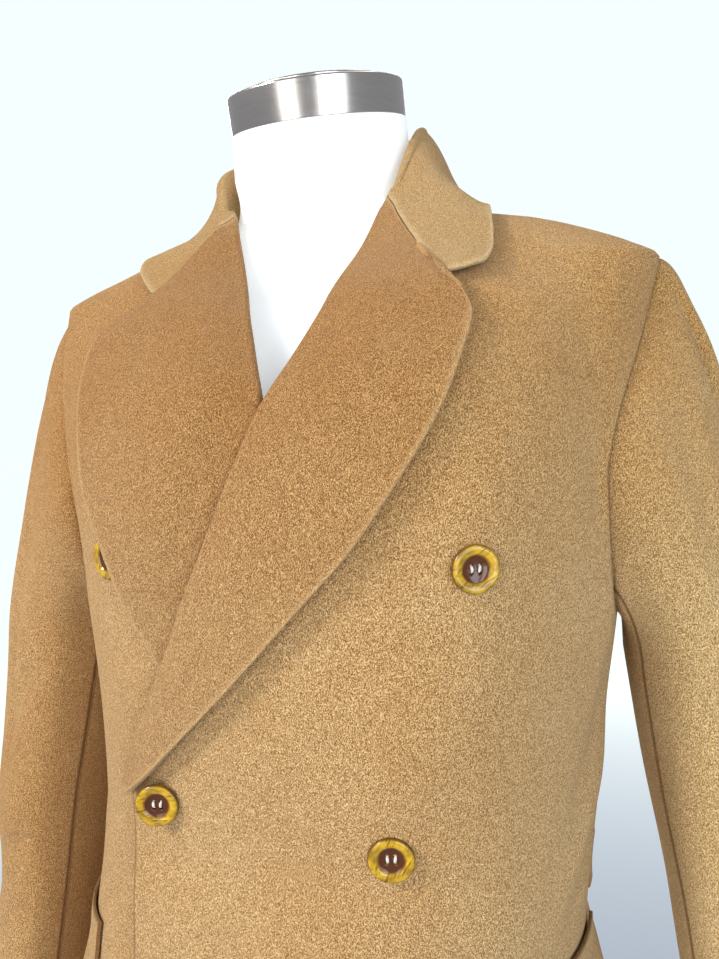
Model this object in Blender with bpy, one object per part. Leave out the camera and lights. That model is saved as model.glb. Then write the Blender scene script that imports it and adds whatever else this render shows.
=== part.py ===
"""Double-breasted long coat of camel napped wool, worn on a limbless dress form with a floor stand.

Metres, +Z up, the coat's front towards -Y and the wearer's left towards +X. The origin is the centre of
the underside of the stand's base, on the floor.

The coat's outer face is one smooth surface, given by a stack of rings. Fronts, backs, flaps and half belt
are walls cut from that surface. Lapels and collar are turned walls that lie on it, and the sleeves fan out
of the armholes that the panels leave.
"""

import math

import bmesh
import bpy
import numpy as np

# Cloth
WALL = 0.0025  # overcoating with its interlining
SEAM = 0.0003  # the space kept between two pieces at a seam
TURN_GAP = 0.0010  # half of the space inside a turned fold
TURN_STEPS = 4  # flats round a turned fold

# Coat body: rings from hem to neck. half_width is along X, front and back are depths along -Y and +Y,
# square is the superellipse power (2 is an ellipse) and shift moves the ring along X.
COAT_COLUMNS = ("height", "half_width", "front", "back", "square", "shift")
COAT_RINGS = (
    (0.375, 0.262, 0.190, 0.192, 2.20, -0.010),
    (0.600, 0.243, 0.180, 0.178, 2.25, -0.010),
    (0.850, 0.209, 0.168, 0.160, 2.35, -0.010),
    (0.925, 0.192, 0.163, 0.150, 2.40, -0.010),
    (0.975, 0.181, 0.157, 0.140, 2.40, -0.009),
    (1.020, 0.180, 0.148, 0.133, 2.40, -0.004),
    (1.070, 0.182, 0.140, 0.128, 2.35, 0.000),
    (1.130, 0.1845, 0.144, 0.130, 2.30, 0.003),
    (1.188, 0.190, 0.146, 0.134, 2.30, 0.005),
    (1.250, 0.197, 0.146, 0.136, 2.30, 0.005),
    (1.330, 0.2085, 0.132, 0.130, 2.25, 0.003),
    (1.380, 0.2155, 0.106, 0.110, 2.20, 0.003),
    (1.417, 0.2190, 0.076, 0.082, 2.10, 0.005),
    (1.426, 0.205, 0.071, 0.077, 2.05, 0.005),
    (1.4365, 0.181, 0.0665, 0.0725, 2.00, 0.005),
    (1.446, 0.152, 0.063, 0.068, 2.00, 0.0045),
    (1.4535, 0.112, 0.061, 0.066, 2.00, 0.004),
    (1.474, 0.077, 0.060, 0.066, 2.00, 0.003),
)
HEM = 0.375
NECK = 1.474
NECKLINE_RUN = 0.006  # how far above the neck the neckline would reach the side
PROBE_TURN = 0.01  # steps between the points that a normal is worked out from
PROBE_HEIGHT = 0.003
PROBE_SEAM = 0.004
PROBE_X = 0.004
SHOULDER_TIP = 1.417
UNDERARM = 1.188
CHEST = 1.15  # the fullest ring; above it the coat only narrows
HALVINGS = 30  # steps of the search for a height, far below a micron
DROP = 0.0055  # how much lower the coat hangs at the wearer's right shoulder
# Where that lowering grows, and where a part of it is lost again, outward from the middle (x); and where
# it starts and ends going up (height)
DROP_GROWS = (0.02, 0.12)
DROP_FADES = (0.14, 0.21)
DROP_LOST = 0.8
DROP_STARTS = (1.24, 1.40)
DROP_ENDS = (1.46, 1.50)
GORGE = 1.457  # height of the top of the roll lines

# Heights at which every panel has a row of corners, so that neighbours share them
PANEL_ROWS = (
    HEM, 0.480, 0.590, 0.700, 0.800, 0.870, 0.915, 0.945, 0.970, 0.995, 1.025, 1.062, 1.100, 1.145,
    UNDERARM, 1.200, 1.224, 1.250, 1.280, 1.310, 1.340, 1.368, 1.395,
    SHOULDER_TIP, 1.426, 1.4365, 1.446, GORGE, 1.4655, NECK,
)

# Soft folds of the skirt: turn is where round the ring, width is in turns, depth is outward at the hem
FOLD_COLUMNS = ("turn", "width", "top", "depth")
FOLD_GROWTH = 0.8  # how fast a fold deepens from its top down to the hem
SKIRT_FOLDS = (
    (-1.62, 0.15, 0.98, 0.011),
    (-1.18, 0.13, 0.90, 0.010),
    (-0.72, 0.12, 0.93, 0.008),
    (-0.20, 0.14, 0.80, -0.005),
    (0.34, 0.13, 0.86, 0.006),
    (0.80, 0.12, 0.95, 0.009),
    (1.22, 0.14, 0.92, 0.011),
    (1.66, 0.13, 0.98, 0.010),
)

# The middle line of each front: its free edge up to the height where the lapel turns, then the roll line
MIDDLE_COLUMNS = ("height", "x")
MIDDLE_LINES = {
    1: (
        (HEM, -0.100),
        (1.100, -0.0965),
        (1.134, -0.0832),
        (1.164, -0.0666),
        (1.190, -0.0527),
        (1.226, -0.0370),
        (1.262, -0.0193),
        (1.295, -0.0049),
        (1.325, 0.0082),
        (1.352, 0.0256),
        (1.378, 0.0378),
        (1.402, 0.0460),
        (GORGE, 0.0598),
    ),
    -1: (
        (HEM, 0.100),
        (0.600, 0.098),
        (0.800, 0.088),
        (0.920, 0.070),
        (0.990, 0.050),
        (1.062, 0.024),
        (1.120, 0.018),
        (1.190, 0.013),
        (1.250, 0.008),
        (1.300, 0.003),
        (1.330, -0.002),
        (1.364, -0.0130),
        (1.389, -0.0230),
        (1.418, -0.0355),
        (GORGE, -0.0480),
    ),
}
WRAP_LIFT = 0.0036  # how far the over-front lies above the under-front
LAPEL_LIFT = 0.0064  # more of it where the under-lapel lies between them
WRAP_START = 0.178  # x at which the over-front begins to rise
WRAP_FULL = 0.108
WRAP_TOP = (1.385, 1.455)  # heights over which it ends, towards the neck
LAPEL_UNDER = (0.95, 1.05)  # heights over which the under-lapel's share of it begins


def table(columns, rows):
    """The rows of a table as one array for each named column."""
    return dict(zip(columns, np.array(rows, float).T))


def curve(x, y):
    """A smooth function through the given points that never overshoots them."""
    x = np.asarray(x, float)
    y = np.asarray(y, float)
    step = np.diff(x)
    rise = np.diff(y) / step
    slope = np.zeros_like(y)
    slope[0] = rise[0]
    slope[-1] = rise[-1]
    for i in range(1, len(y) - 1):
        if rise[i - 1] * rise[i] > 0:
            before = 2 * step[i] + step[i - 1]
            after = step[i] + 2 * step[i - 1]
            slope[i] = (before + after) / (before / rise[i - 1] + after / rise[i])

    def at(value):
        value = np.clip(value, x[0], x[-1])
        i = np.clip(np.searchsorted(x, value, side="right") - 1, 0, len(step) - 1)
        s = (value - x[i]) / step[i]
        return (
            y[i] * (1 + 2 * s) * (1 - s) ** 2
            + step[i] * slope[i] * s * (1 - s) ** 2
            + y[i + 1] * s**2 * (3 - 2 * s)
            + step[i] * slope[i + 1] * s**2 * (s - 1)
        )

    return at


def smooth(value, start, end):
    """0 at start, 1 at end, and an S-shaped way between them."""
    s = np.clip((np.asarray(value, float) - start) / (end - start), 0, 1)
    return s * s * (3 - 2 * s)


def unit(vectors):
    return vectors / np.maximum(np.linalg.norm(vectors, axis=-1, keepdims=True), 1e-12)


rings = table(COAT_COLUMNS, COAT_RINGS)
coat = {name: curve(rings["height"], rings[name]) for name in COAT_COLUMNS[1:]}


# ---- The coat's outer face ----


def ring_point(turn, height):
    """A point on the plain ring: turn is 0 at the front centre, 1 at the wearer's left, 2 at the back."""
    turn, height = np.broadcast_arrays(np.asarray(turn, float), np.asarray(height, float))
    across = np.sin(turn * math.pi / 2)
    along = np.cos(turn * math.pi / 2)
    power = 2 / coat["square"](height)
    depth = np.where(along > 0, coat["front"](height), coat["back"](height))
    x = coat["shift"](height) + coat["half_width"](height) * np.sign(across) * abs(across) ** power
    y = -depth * np.sign(along) * abs(along) ** power
    return np.stack([x, y, height], -1)


def skirt_fold(turn, height):
    """How far the skirt's soft folds stand out of the ring."""
    out = np.zeros(np.broadcast(turn, height).shape)
    for row in SKIRT_FOLDS:
        fold = dict(zip(FOLD_COLUMNS, row))
        away = (np.asarray(turn) - fold["turn"] + 2) % 4 - 2
        ridge = fold["depth"] * np.exp(-((away / fold["width"]) ** 2))
        out += ridge * smooth(height, fold["top"], HEM) ** FOLD_GROWTH
    return out


def outward(turn, height):
    """The ring's level normal."""
    along = ring_point(turn + PROBE_TURN, height) - ring_point(turn - PROBE_TURN, height)
    return unit(np.stack([along[..., 1], -along[..., 0], np.zeros_like(along[..., 0])], -1))


def draped_point(turn, height):
    return ring_point(turn, height) + outward(turn, height) * skirt_fold(turn, height)[..., None]


def face(turn, height, lift=0.0):
    """A point of the coat's outer face, moved out along its normal by lift."""
    turn, height = np.broadcast_arrays(np.asarray(turn, float), np.asarray(height, float))
    normal = face_normal(turn, height)
    return draped_point(turn, height) + normal * np.asarray(lift)[..., None]


def face_normal(turn, height):
    around = draped_point(turn + PROBE_TURN, height) - draped_point(turn - PROBE_TURN, height)
    low = np.clip(height - PROBE_HEIGHT, HEM, NECK)
    high = np.clip(height + PROBE_HEIGHT, HEM, NECK)
    up = draped_point(turn, high) - draped_point(turn, low)
    return unit(np.cross(around, up))


def turn_at(x, height):
    """The turn at which the ring passes over x in front."""
    share = (np.asarray(x) - coat["shift"](height)) / coat["half_width"](height)
    share = np.clip(share, -1, 1)
    sine = np.sign(share) * abs(share) ** (coat["square"](height) / 2)
    return np.arcsin(np.clip(sine, -1, 1)) * 2 / math.pi


def height_over(x, y):
    """The height at which the ring passes through a place seen from above, on the chest or shoulders."""
    x, y = np.broadcast_arrays(np.asarray(x, float), np.asarray(y, float))
    low = np.full(x.shape, CHEST)
    high = np.full(x.shape, NECK)
    for _ in range(HALVINGS):
        middle = (low + high) / 2
        depth = np.where(y < 0, coat["front"](middle), coat["back"](middle))
        power = coat["square"](middle)
        across = (x - coat["shift"](middle)) / coat["half_width"](middle)
        reach = abs(across) ** power + abs(y / depth) ** power
        low = np.where(reach < 1, middle, low)
        high = np.where(reach < 1, high, middle)
    return (low + high) / 2


def turn_over(x, y, height):
    """The turn of a place seen from above, at the height that height_over gives."""
    depth = np.where(np.asarray(y) < 0, coat["front"](height), coat["back"](height))
    power = coat["square"](height) / 2
    share = (x - coat["shift"](height)) / coat["half_width"](height)
    along = np.where(np.asarray(y) < 0, 1, -1) * abs(y / depth) ** power
    return np.sign(share) * np.arctan2(abs(share) ** power, along) * 2 / math.pi


# ---- Walls ----


def material(name, colour, roughness, metallic=0.0):
    made = bpy.data.materials.new(name)
    made.use_nodes = True
    shader = made.node_tree.nodes["Principled BSDF"]
    shader.inputs["Base Color"].default_value = (*colour, 1)
    shader.inputs["Roughness"].default_value = roughness
    shader.inputs["Metallic"].default_value = metallic
    return made


def settled(points):
    """The points let down at the wearer's right shoulder, with the form that is under it."""
    across = smooth(-points[..., 0], *DROP_GROWS) * (1 - DROP_LOST * smooth(-points[..., 0], *DROP_FADES))
    share = across * smooth(points[..., 2], *DROP_STARTS)
    share = share * (1 - smooth(points[..., 2], *DROP_ENDS))
    return points - (DROP * share)[..., None] * np.array([0, 0, 1])


def add_object(name, points, faces, finish, smooth_angle=40):
    points = settled(np.array(points, float))
    mesh = bpy.data.meshes.new(name)
    mesh.from_pydata([tuple(map(float, p)) for p in points], [], faces)
    mesh.materials.append(finish)
    mesh.validate()
    mesh.shade_smooth()
    mesh.set_sharp_from_angle(angle=math.radians(smooth_angle))
    made = bpy.data.objects.new(name, mesh)
    bpy.context.scene.collection.objects.link(made)
    return made


def add_wall(name, outer, inner, finish):
    """A closed wall between two grids of points, rows first, whose outer face looks outward."""
    rows, columns = outer.shape[:2]
    index = np.arange(rows * columns).reshape(rows, columns)
    faces = []
    below = rows * columns
    for i in range(rows - 1):
        for j in range(columns - 1):
            corners = index[i, j], index[i, j + 1], index[i + 1, j + 1], index[i + 1, j]
            faces.append([int(c) for c in corners])
            faces.append([int(c) + below for c in reversed(corners)])
    rim = [*index[0, :], *index[1:, -1], *index[-1, -2::-1], *index[-2:0:-1, 0]]
    for a, b in zip(rim, rim[1:] + rim[:1]):
        faces.append([int(b), int(a), int(a) + below, int(b) + below])
    points = np.concatenate([outer.reshape(-1, 3), inner.reshape(-1, 3)])
    return add_object(name, points, faces, finish)


def grid_normals(grid):
    """Normals of a grid of points, from the directions to each point's neighbours."""
    def tangents(axis):
        ahead = unit(np.diff(grid, axis=axis))
        first = np.take(ahead, [0], axis=axis)
        last = np.take(ahead, [-1], axis=axis)
        return np.concatenate([first, ahead], axis) + np.concatenate([ahead, last], axis)

    return unit(np.cross(unit(tangents(1)), unit(tangents(0))))


# ---- Fronts and backs ----


middle_x = {}
for which, line in MIDDLE_LINES.items():
    points = table(MIDDLE_COLUMNS, line)
    middle_x[which] = curve(points["height"], points["x"])


def seam_step(turn, height):
    """Half a seam's space, as a part of a turn."""
    step = ring_point(turn + PROBE_SEAM, height) - ring_point(turn - PROBE_SEAM, height)
    return SEAM / 2 / (np.linalg.norm(step, axis=-1) / (2 * PROBE_SEAM))


# Armhole: at each height, how far the front's and the back's edges are from the coat's middle
ARMHOLE_COLUMNS = ("height", "front_x", "back_x")
ARMHOLE = (
    (UNDERARM, 0.1900, 0.1900),
    (1.195, 0.1880, 0.1865),
    (1.207, 0.1865, 0.1840),
    (1.232, 0.1850, 0.1820),
    (1.257, 0.1843, 0.1815),
    (1.281, 0.1845, 0.1825),
    (1.310, 0.1900, 0.1880),
    (1.338, 0.1985, 0.1965),
    (1.368, 0.2082, 0.2067),
    (1.393, 0.2145, 0.2135),
    (SHOULDER_TIP, 0.2190, 0.2190),
)
armhole = table(ARMHOLE_COLUMNS, ARMHOLE)
armhole_front = curve(armhole["height"], armhole["front_x"])
armhole_back = curve(armhole["height"], armhole["back_x"])


def side_turn(height, side, back=False):
    """Where a panel ends at the side: the side seam, the armhole's edge or the shoulder seam."""
    if height <= UNDERARM or height >= SHOULDER_TIP:
        return float(side)
    if back:
        turn = 2 - turn_at(coat["shift"](height) + armhole_back(height), height)
    else:
        turn = turn_at(coat["shift"](height) + armhole_front(height), height)
    return side * float(turn)


def front_turn(height, side):
    """Where a front ends at the middle: its free edge, its roll line or its neckline."""
    if height <= GORGE:
        return float(turn_at(middle_x[side](height), height))
    top = float(turn_at(middle_x[side](GORGE), GORGE))
    share = float(smooth(height, GORGE, NECK + NECKLINE_RUN))
    return top * (1 - share) + side * share


def wrap_lift(x, height):
    """How far the over-front stands off where the under-front and its lapel lie below it."""
    more = LAPEL_LIFT * smooth(height, *LAPEL_UNDER)
    return (WRAP_LIFT + more) * (1 - smooth(x, WRAP_FULL, WRAP_START)) * (
        1 - smooth(height, *WRAP_TOP)
    )


def on_front(side, x, height, lift=0.0):
    """A point over the front of one side, moved out by lift from that front's own outer face."""
    under = wrap_lift(x, height) if side > 0 else 0.0
    return face(turn_at(x, height), height, under + lift)


def front_normal(side, x, height):
    across = on_front(side, x + PROBE_X, height) - on_front(side, x - PROBE_X, height)
    up = on_front(side, x, height + PROBE_X) - on_front(side, x, height - PROBE_X)
    return unit(np.cross(across, up))


def front_grid(side, columns, rows=PANEL_ROWS):
    """Turns and heights of one front, and its lift. side is 1 for the wearer's left, the over-front."""
    heights = np.array(rows)
    start = np.array([front_turn(h, side) for h in rows])
    end = np.array([side_turn(h, side) for h in rows])
    start = start + side * seam_step(start, heights)
    end = end - side * seam_step(end, heights)
    share = np.linspace(0, 1, columns)
    turns = start[:, None] + (end - start)[:, None] * share
    heights = np.broadcast_to(heights[:, None], turns.shape)
    lift = np.zeros(turns.shape)
    if side > 0:
        lift = wrap_lift(ring_point(turns, heights)[..., 0], heights)
    if side < 0:
        turns, lift = turns[:, ::-1], lift[:, ::-1]
    return turns, heights, lift


def back_grid(side, columns, rows=PANEL_ROWS):
    heights = np.array(rows)
    start = np.array([side_turn(h, side, back=True) for h in rows])
    start = start + side * seam_step(start, heights)
    end = np.full(len(rows), 2.0 * side) - side * seam_step(2.0, heights)
    share = np.linspace(0, 1, columns)
    turns = start[:, None] + (end - start)[:, None] * share
    if side < 0:
        turns = turns[:, ::-1]
    return turns, np.broadcast_to(heights[:, None], turns.shape), np.zeros(turns.shape)


def add_panel(name, grid, finish):
    turns, heights, lift = grid
    return add_wall(name, face(turns, heights, lift), face(turns, heights, lift - WALL), finish)


# ---- Sleeves ----

SLEEVE_COLUMNS = ("height", "inner_x", "outer_x", "centre_y", "half_depth")
SLEEVE_RINGS = (
    (1.150, 0.1970, 0.2960, 0.030, 0.081),
    (1.080, 0.2105, 0.3040, 0.026, 0.078),
    (1.010, 0.2240, 0.3080, 0.018, 0.075),
    (0.950, 0.2320, 0.3090, 0.009, 0.072),
    (0.880, 0.2410, 0.3120, -0.003, 0.069),
    (0.800, 0.2500, 0.3190, -0.018, 0.066),
)
CUFF = 0.800
BICEPS = 1.150
SLEEVE_SQUARE = 2.3
SLEEVE_HEIGHTS = (1.110, 1.065, 1.020, 0.975, 0.930, 0.885, 0.840, CUFF)
CAP_STEPS = (0.0, 0.05, 0.12, 0.22, 0.34, 0.48, 0.64, 0.82, 1.0)
CAP_START_TOP = (0.080, 0.0, -0.030)  # how the cap leaves the armhole at the shoulder
CAP_START_UNDER = (0.014, 0.0, -0.020)  # and at the underarm
CAP_FULLNESS = 0.030  # how much more it swings out to the front and back
HANG_WAY = (0.10, -0.04, -1.0)  # how the sleeve hangs at the biceps
HANG_PULL = 1.15
CAP_CLEAR = 1.7 * SEAM  # from the panels' edge to the cap's first row, each way
SLEEVE_SEAM_HALF = 0.9 * SEAM
SHIFT_HEIGHTS = (0.98, 1.16)  # heights over which the sleeve follows the coat's sideways shift
SHIFT_ACROSS = (0.225, 0.265)  # x over which the lowered sleeve's outer side stops following it
SLEEVE_SEAMS = (142, 105)  # the front and back seams, in degrees each way from the outer line
SLEEVE_FOLD_COLUMNS = ("angle", "height", "depth", "width", "tall")
SLEEVE_FOLDS = (
    (-35, 1.135, -0.006, 30, 0.10),
    (25, 1.020, -0.005, 26, 0.12),
    (-80, 0.955, -0.005, 30, 0.05),
    (-70, 1.010, 0.004, 30, 0.04),
)
sleeve_rings = table(SLEEVE_COLUMNS, sorted(SLEEVE_RINGS))
sleeve = {name: curve(sleeve_rings["height"], sleeve_rings[name]) for name in SLEEVE_COLUMNS[1:]}


def armhole_loop(rows=PANEL_ROWS):
    """The wearer's left armhole, measured from the coat's middle: down the front and up the back."""
    edge = [h for h in rows if UNDERARM <= h <= SHOULDER_TIP]
    front = [face(side_turn(h, 1), h) for h in reversed(edge)]
    back = [face(side_turn(h, 1, back=True), h) for h in edge[1:-1]]
    loop = np.array(front + back)
    loop[:, 0] -= coat["shift"](loop[:, 2])
    return loop


def sleeve_angles(loop):
    """Each armhole point's angle round the sleeve: 0 at the top, -180 underarm, negative in front."""
    rise = np.clip((loop[:, 2] - UNDERARM) / (SHOULDER_TIP - UNDERARM), 0, 1)
    angle = np.degrees(np.arccos(2 * rise - 1))
    under = int(np.argmax(angle))
    return np.where(np.arange(len(loop)) <= under, -angle, angle)


def sleeve_section(angle, height):
    """A level ring of the hanging sleeve, at the given angles in degrees."""
    inner, outer = sleeve["inner_x"](height), sleeve["outer_x"](height)
    cosine, sine = np.cos(np.radians(angle)), np.sin(np.radians(angle))
    power = 2 / SLEEVE_SQUARE
    x = (inner + outer) / 2 + (outer - inner) / 2 * np.sign(cosine) * abs(cosine) ** power
    y = sleeve["centre_y"](height) + sleeve["half_depth"](height) * np.sign(sine) * abs(sine) ** power
    level = np.stack([x, y, np.full_like(x, height)], -1)
    middle = np.array([(inner + outer) / 2, sleeve["centre_y"](height), height])
    out = unit(level - middle)
    for row in SLEEVE_FOLDS:
        fold = dict(zip(SLEEVE_FOLD_COLUMNS, row))
        across = (angle - fold["angle"]) / fold["width"]
        share = np.exp(-(across**2) - ((height - fold["height"]) / fold["tall"]) ** 2)
        level = level + out * (fold["depth"] * share)[..., None]
    return level


def sleeve_grid(loop, cap_steps=CAP_STEPS, heights=SLEEVE_HEIGHTS):
    """The left sleeve's outer face: rows from the armhole to the cuff, columns round it."""
    angle = sleeve_angles(loop)
    rise = ((1 + np.cos(np.radians(angle))) / 2)[:, None]
    level = sleeve_section(angle, BICEPS)
    fullness = np.sin(np.radians(angle))[:, None] * np.array([0, CAP_FULLNESS, 0])
    start = rise * np.array(CAP_START_TOP) + (1 - rise) * np.array(CAP_START_UNDER) + fullness
    end = np.linalg.norm(level - loop, axis=1, keepdims=True) * HANG_PULL * np.array(HANG_WAY)
    # The first row stands off the panels' edge, into the armhole and out of the coat's face
    inward = loop.mean(axis=0) - loop
    inward[:, 0] = 0
    first = loop + unit(unit(inward) + unit(start)) * CAP_CLEAR
    rows = []
    for s in cap_steps:
        blend = (1 + 2 * s) * (1 - s) ** 2, s * (1 - s) ** 2, s**2 * (3 - 2 * s), s**2 * (s - 1)
        rows.append(first * blend[0] + start * blend[1] + level * blend[2] + end * blend[3])
    rows += [sleeve_section(angle, height) for height in heights]
    return np.array(rows), angle


def sleeve_walls(rows=PANEL_ROWS, cap_steps=CAP_STEPS, heights=SLEEVE_HEIGHTS):
    """Outer and inner grids of the left sleeve, and the angle of each column."""
    grid, angle = sleeve_grid(armhole_loop(rows), cap_steps, heights)
    closed = np.concatenate([grid[:, -1:], grid, grid[:, :1]], axis=1)
    normal = grid_normals(closed)[:, 1:-1]
    away = grid - grid.mean(axis=1, keepdims=True)
    normal = normal * np.sign((normal[-3:] * away[-3:]).sum())
    return grid, grid - normal * WALL, angle


def sleeve_columns(angle, upper):
    """Indices of the columns of the top sleeve or of the under-sleeve, front seam first."""
    under = int(np.argmin(angle))
    front = int(np.argmin(abs(angle[: under + 1] + SLEEVE_SEAMS[0])))
    back = under + 1 + int(np.argmin(abs(angle[under + 1 :] - SLEEVE_SEAMS[1])))
    if upper:
        return [*range(front, -1, -1), *range(len(angle) - 1, back - 1, -1)]
    return list(range(front, back + 1))


def seamed(grid):
    """The grid with its first and last columns drawn in by half a seam."""
    grid = grid.copy()
    grid[:, 0] += unit(grid[:, 1] - grid[:, 0]) * SLEEVE_SEAM_HALF
    grid[:, -1] += unit(grid[:, -2] - grid[:, -1]) * SLEEVE_SEAM_HALF
    return grid


def hung(points):
    """The points of a sleeve moved from the coat's middle line to where the coat hangs."""
    share = smooth(points[..., 2], *SHIFT_HEIGHTS) * (1 - smooth(-points[..., 0], *SHIFT_ACROSS))
    moved = points.copy()
    moved[..., 0] += coat["shift"](points[..., 2]) * share
    return moved


def add_sleeve(side, upper, finish):
    outer, inner, angle = sleeve_walls()
    columns = sleeve_columns(angle, upper)
    outer, inner = seamed(outer[:, columns]), seamed(inner[:, columns])
    if upper == (side > 0):
        outer, inner = outer[::-1], inner[::-1]
    if side < 0:
        flip = np.array([-1, 1, 1])
        outer, inner = outer * flip, inner * flip
    name = ("top" if upper else "under") + "_sleeve_" + SIDE_NAMES[side]
    return add_wall(name, hung(outer), hung(inner), finish)


# ---- Turned lapels and collar ----

LAPEL_COLUMNS = ("roll_height", "edge_x", "edge_height", "crown", "edge_lift")
LAPEL_TABLES = {
    1: (
        (1.100, -0.0930, 1.1010, 0.000, 0.0048),
        (1.118, -0.0725, 1.1190, 0.001, 0.0048),
        (1.150, -0.0417, 1.1500, 0.003, 0.0046),
        (1.187, -0.0086, 1.1835, 0.003, 0.0044),
        (1.228, 0.0276, 1.2227, 0.003, 0.0042),
        (1.266, 0.0601, 1.2591, 0.003, 0.0042),
        (1.300, 0.0801, 1.2877, 0.003, 0.0042),
        (1.330, 0.0947, 1.3124, 0.003, 0.0042),
        (1.358, 0.1070, 1.3402, 0.003, 0.0042),
        (1.384, 0.1140, 1.3625, 0.003, 0.0042),
        (1.406, 0.1147, 1.3690, 0.003, 0.0042),
        (1.430, 0.1120, 1.3770, 0.003, 0.0042),
        (1.446, 0.1050, 1.3845, 0.003, 0.0042),
        (GORGE, 0.0961, 1.3905, 0.003, 0.0042),
    ),
    -1: (
        (1.062, 0.0180, 1.0640, 0.000, 0.0045),
        (1.100, -0.0120, 1.1000, 0.000, 0.0045),
        (1.145, -0.0450, 1.1450, 0.001, 0.0045),
        (1.185, -0.0704, 1.1850, 0.003, 0.0070),
        (1.224, -0.0871, 1.2240, 0.004, 0.0100),
        (1.259, -0.1004, 1.2586, 0.005, 0.0115),
        (1.290, -0.1122, 1.2869, 0.006, 0.0125),
        (1.320, -0.1178, 1.3153, 0.007, 0.0130),
        (1.350, -0.1228, 1.3469, 0.008, 0.0130),
        (1.375, -0.1245, 1.3660, 0.008, 0.0125),
        (1.398, -0.1225, 1.3787, 0.008, 0.0120),
        (1.420, -0.1170, 1.3853, 0.008, 0.0105),
        (1.440, -0.1029, 1.3964, 0.007, 0.0080),
        (GORGE, -0.0875, 1.4050, 0.006, 0.0065),
    ),
}
LAPEL_FOOT = 1.06  # no lapel's roll line starts below this
LAPEL_HEIGHTS = tuple(h for h in PANEL_ROWS if LAPEL_FOOT < h <= GORGE)
ROLL_CLEAR = 0.0016  # from a front's edge to the fold that turns round it
CROWN_BIAS = 0.7  # below 1, the lapel's roundness is greatest nearer its fold
OVERLAP_FADE = 0.05  # how far in from the over-front's edge the under-lapel lies flat
LAPEL_SHARES = (0.0, 0.12, 0.32, 0.55, 0.78, 0.92, 1.0)  # columns from the fold to the edge
LEAF_LIFT = TURN_GAP * 2 + WALL  # how far the leaf's outer face lies above the cloth under it
lapel_tables = {which: table(LAPEL_COLUMNS, rows) for which, rows in LAPEL_TABLES.items()}


def fold_ring(centre, along, out):
    """Points round a turned fold: from the face below, over the crest, to the face above."""
    radius = TURN_GAP + WALL
    angle = np.linspace(0, math.pi, TURN_STEPS + 1)
    return (
        centre[..., None, :]
        - out[..., None, :] * radius * np.cos(angle)[:, None]
        + along[..., None, :] * radius * np.sin(angle)[:, None]
    )


def leaf(start, start_way, end, end_way, shares):
    """Points of the turned leaf from the fold to its edge."""
    reach = np.linalg.norm(end - start, axis=-1, keepdims=True)
    points = []
    for s in shares:
        blend = (1 + 2 * s) * (1 - s) ** 2, s * (1 - s) ** 2, s**2 * (3 - 2 * s), s**2 * (s - 1)
        points.append(
            start * blend[0]
            + start_way * reach * blend[1]
            + end * blend[2]
            + end_way * reach * blend[3]
        )
    return np.stack(points, -2)


def lapel_grid(side, heights=LAPEL_HEIGHTS, shares=LAPEL_SHARES):
    """The face of one lapel: rows up its roll line, columns from inside the fold to the edge."""
    rows = lapel_tables[side]
    roll_h = np.array([h for h in heights if h >= rows["roll_height"][0]])
    at = {name: curve(rows["roll_height"], rows[name])(roll_h)[:, None] for name in LAPEL_COLUMNS[1:]}
    roll_at = middle_x[side](roll_h)
    root = on_front(side, roll_at, roll_h)
    normal = front_normal(side, roll_at, roll_h)
    share = np.array(shares)[1:]
    leaf_x = roll_at[:, None] * (1 - share) + at["edge_x"] * share
    leaf_h = roll_h[:, None] * (1 - share) + at["edge_height"] * share
    lift = (at["edge_lift"] - LEAF_LIFT) * share + at["crown"] * np.sin(math.pi * share**CROWN_BIAS)
    if side < 0:
        lift = lift * smooth(middle_x[1](leaf_h) - leaf_x, 0.0, OVERLAP_FADE)
    flat = on_front(side, leaf_x, leaf_h, lift + LEAF_LIFT)
    out = flat[:, -1] - root
    out = unit(out - normal * (out * normal).sum(-1, keepdims=True))
    centre = root + normal * TURN_GAP - out * ROLL_CLEAR
    ring = fold_ring(centre, -out, normal)
    lead = ring[:, :1] + out[:, None] * ROLL_CLEAR / 2
    return np.concatenate([lead, ring, flat], axis=1)


COLLAR_COLUMNS = (
    "place", "neck_turn", "neck_height", "fold_x", "fold_y", "fold_height", "leaf_x", "leaf_y", "puff",
)
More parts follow.
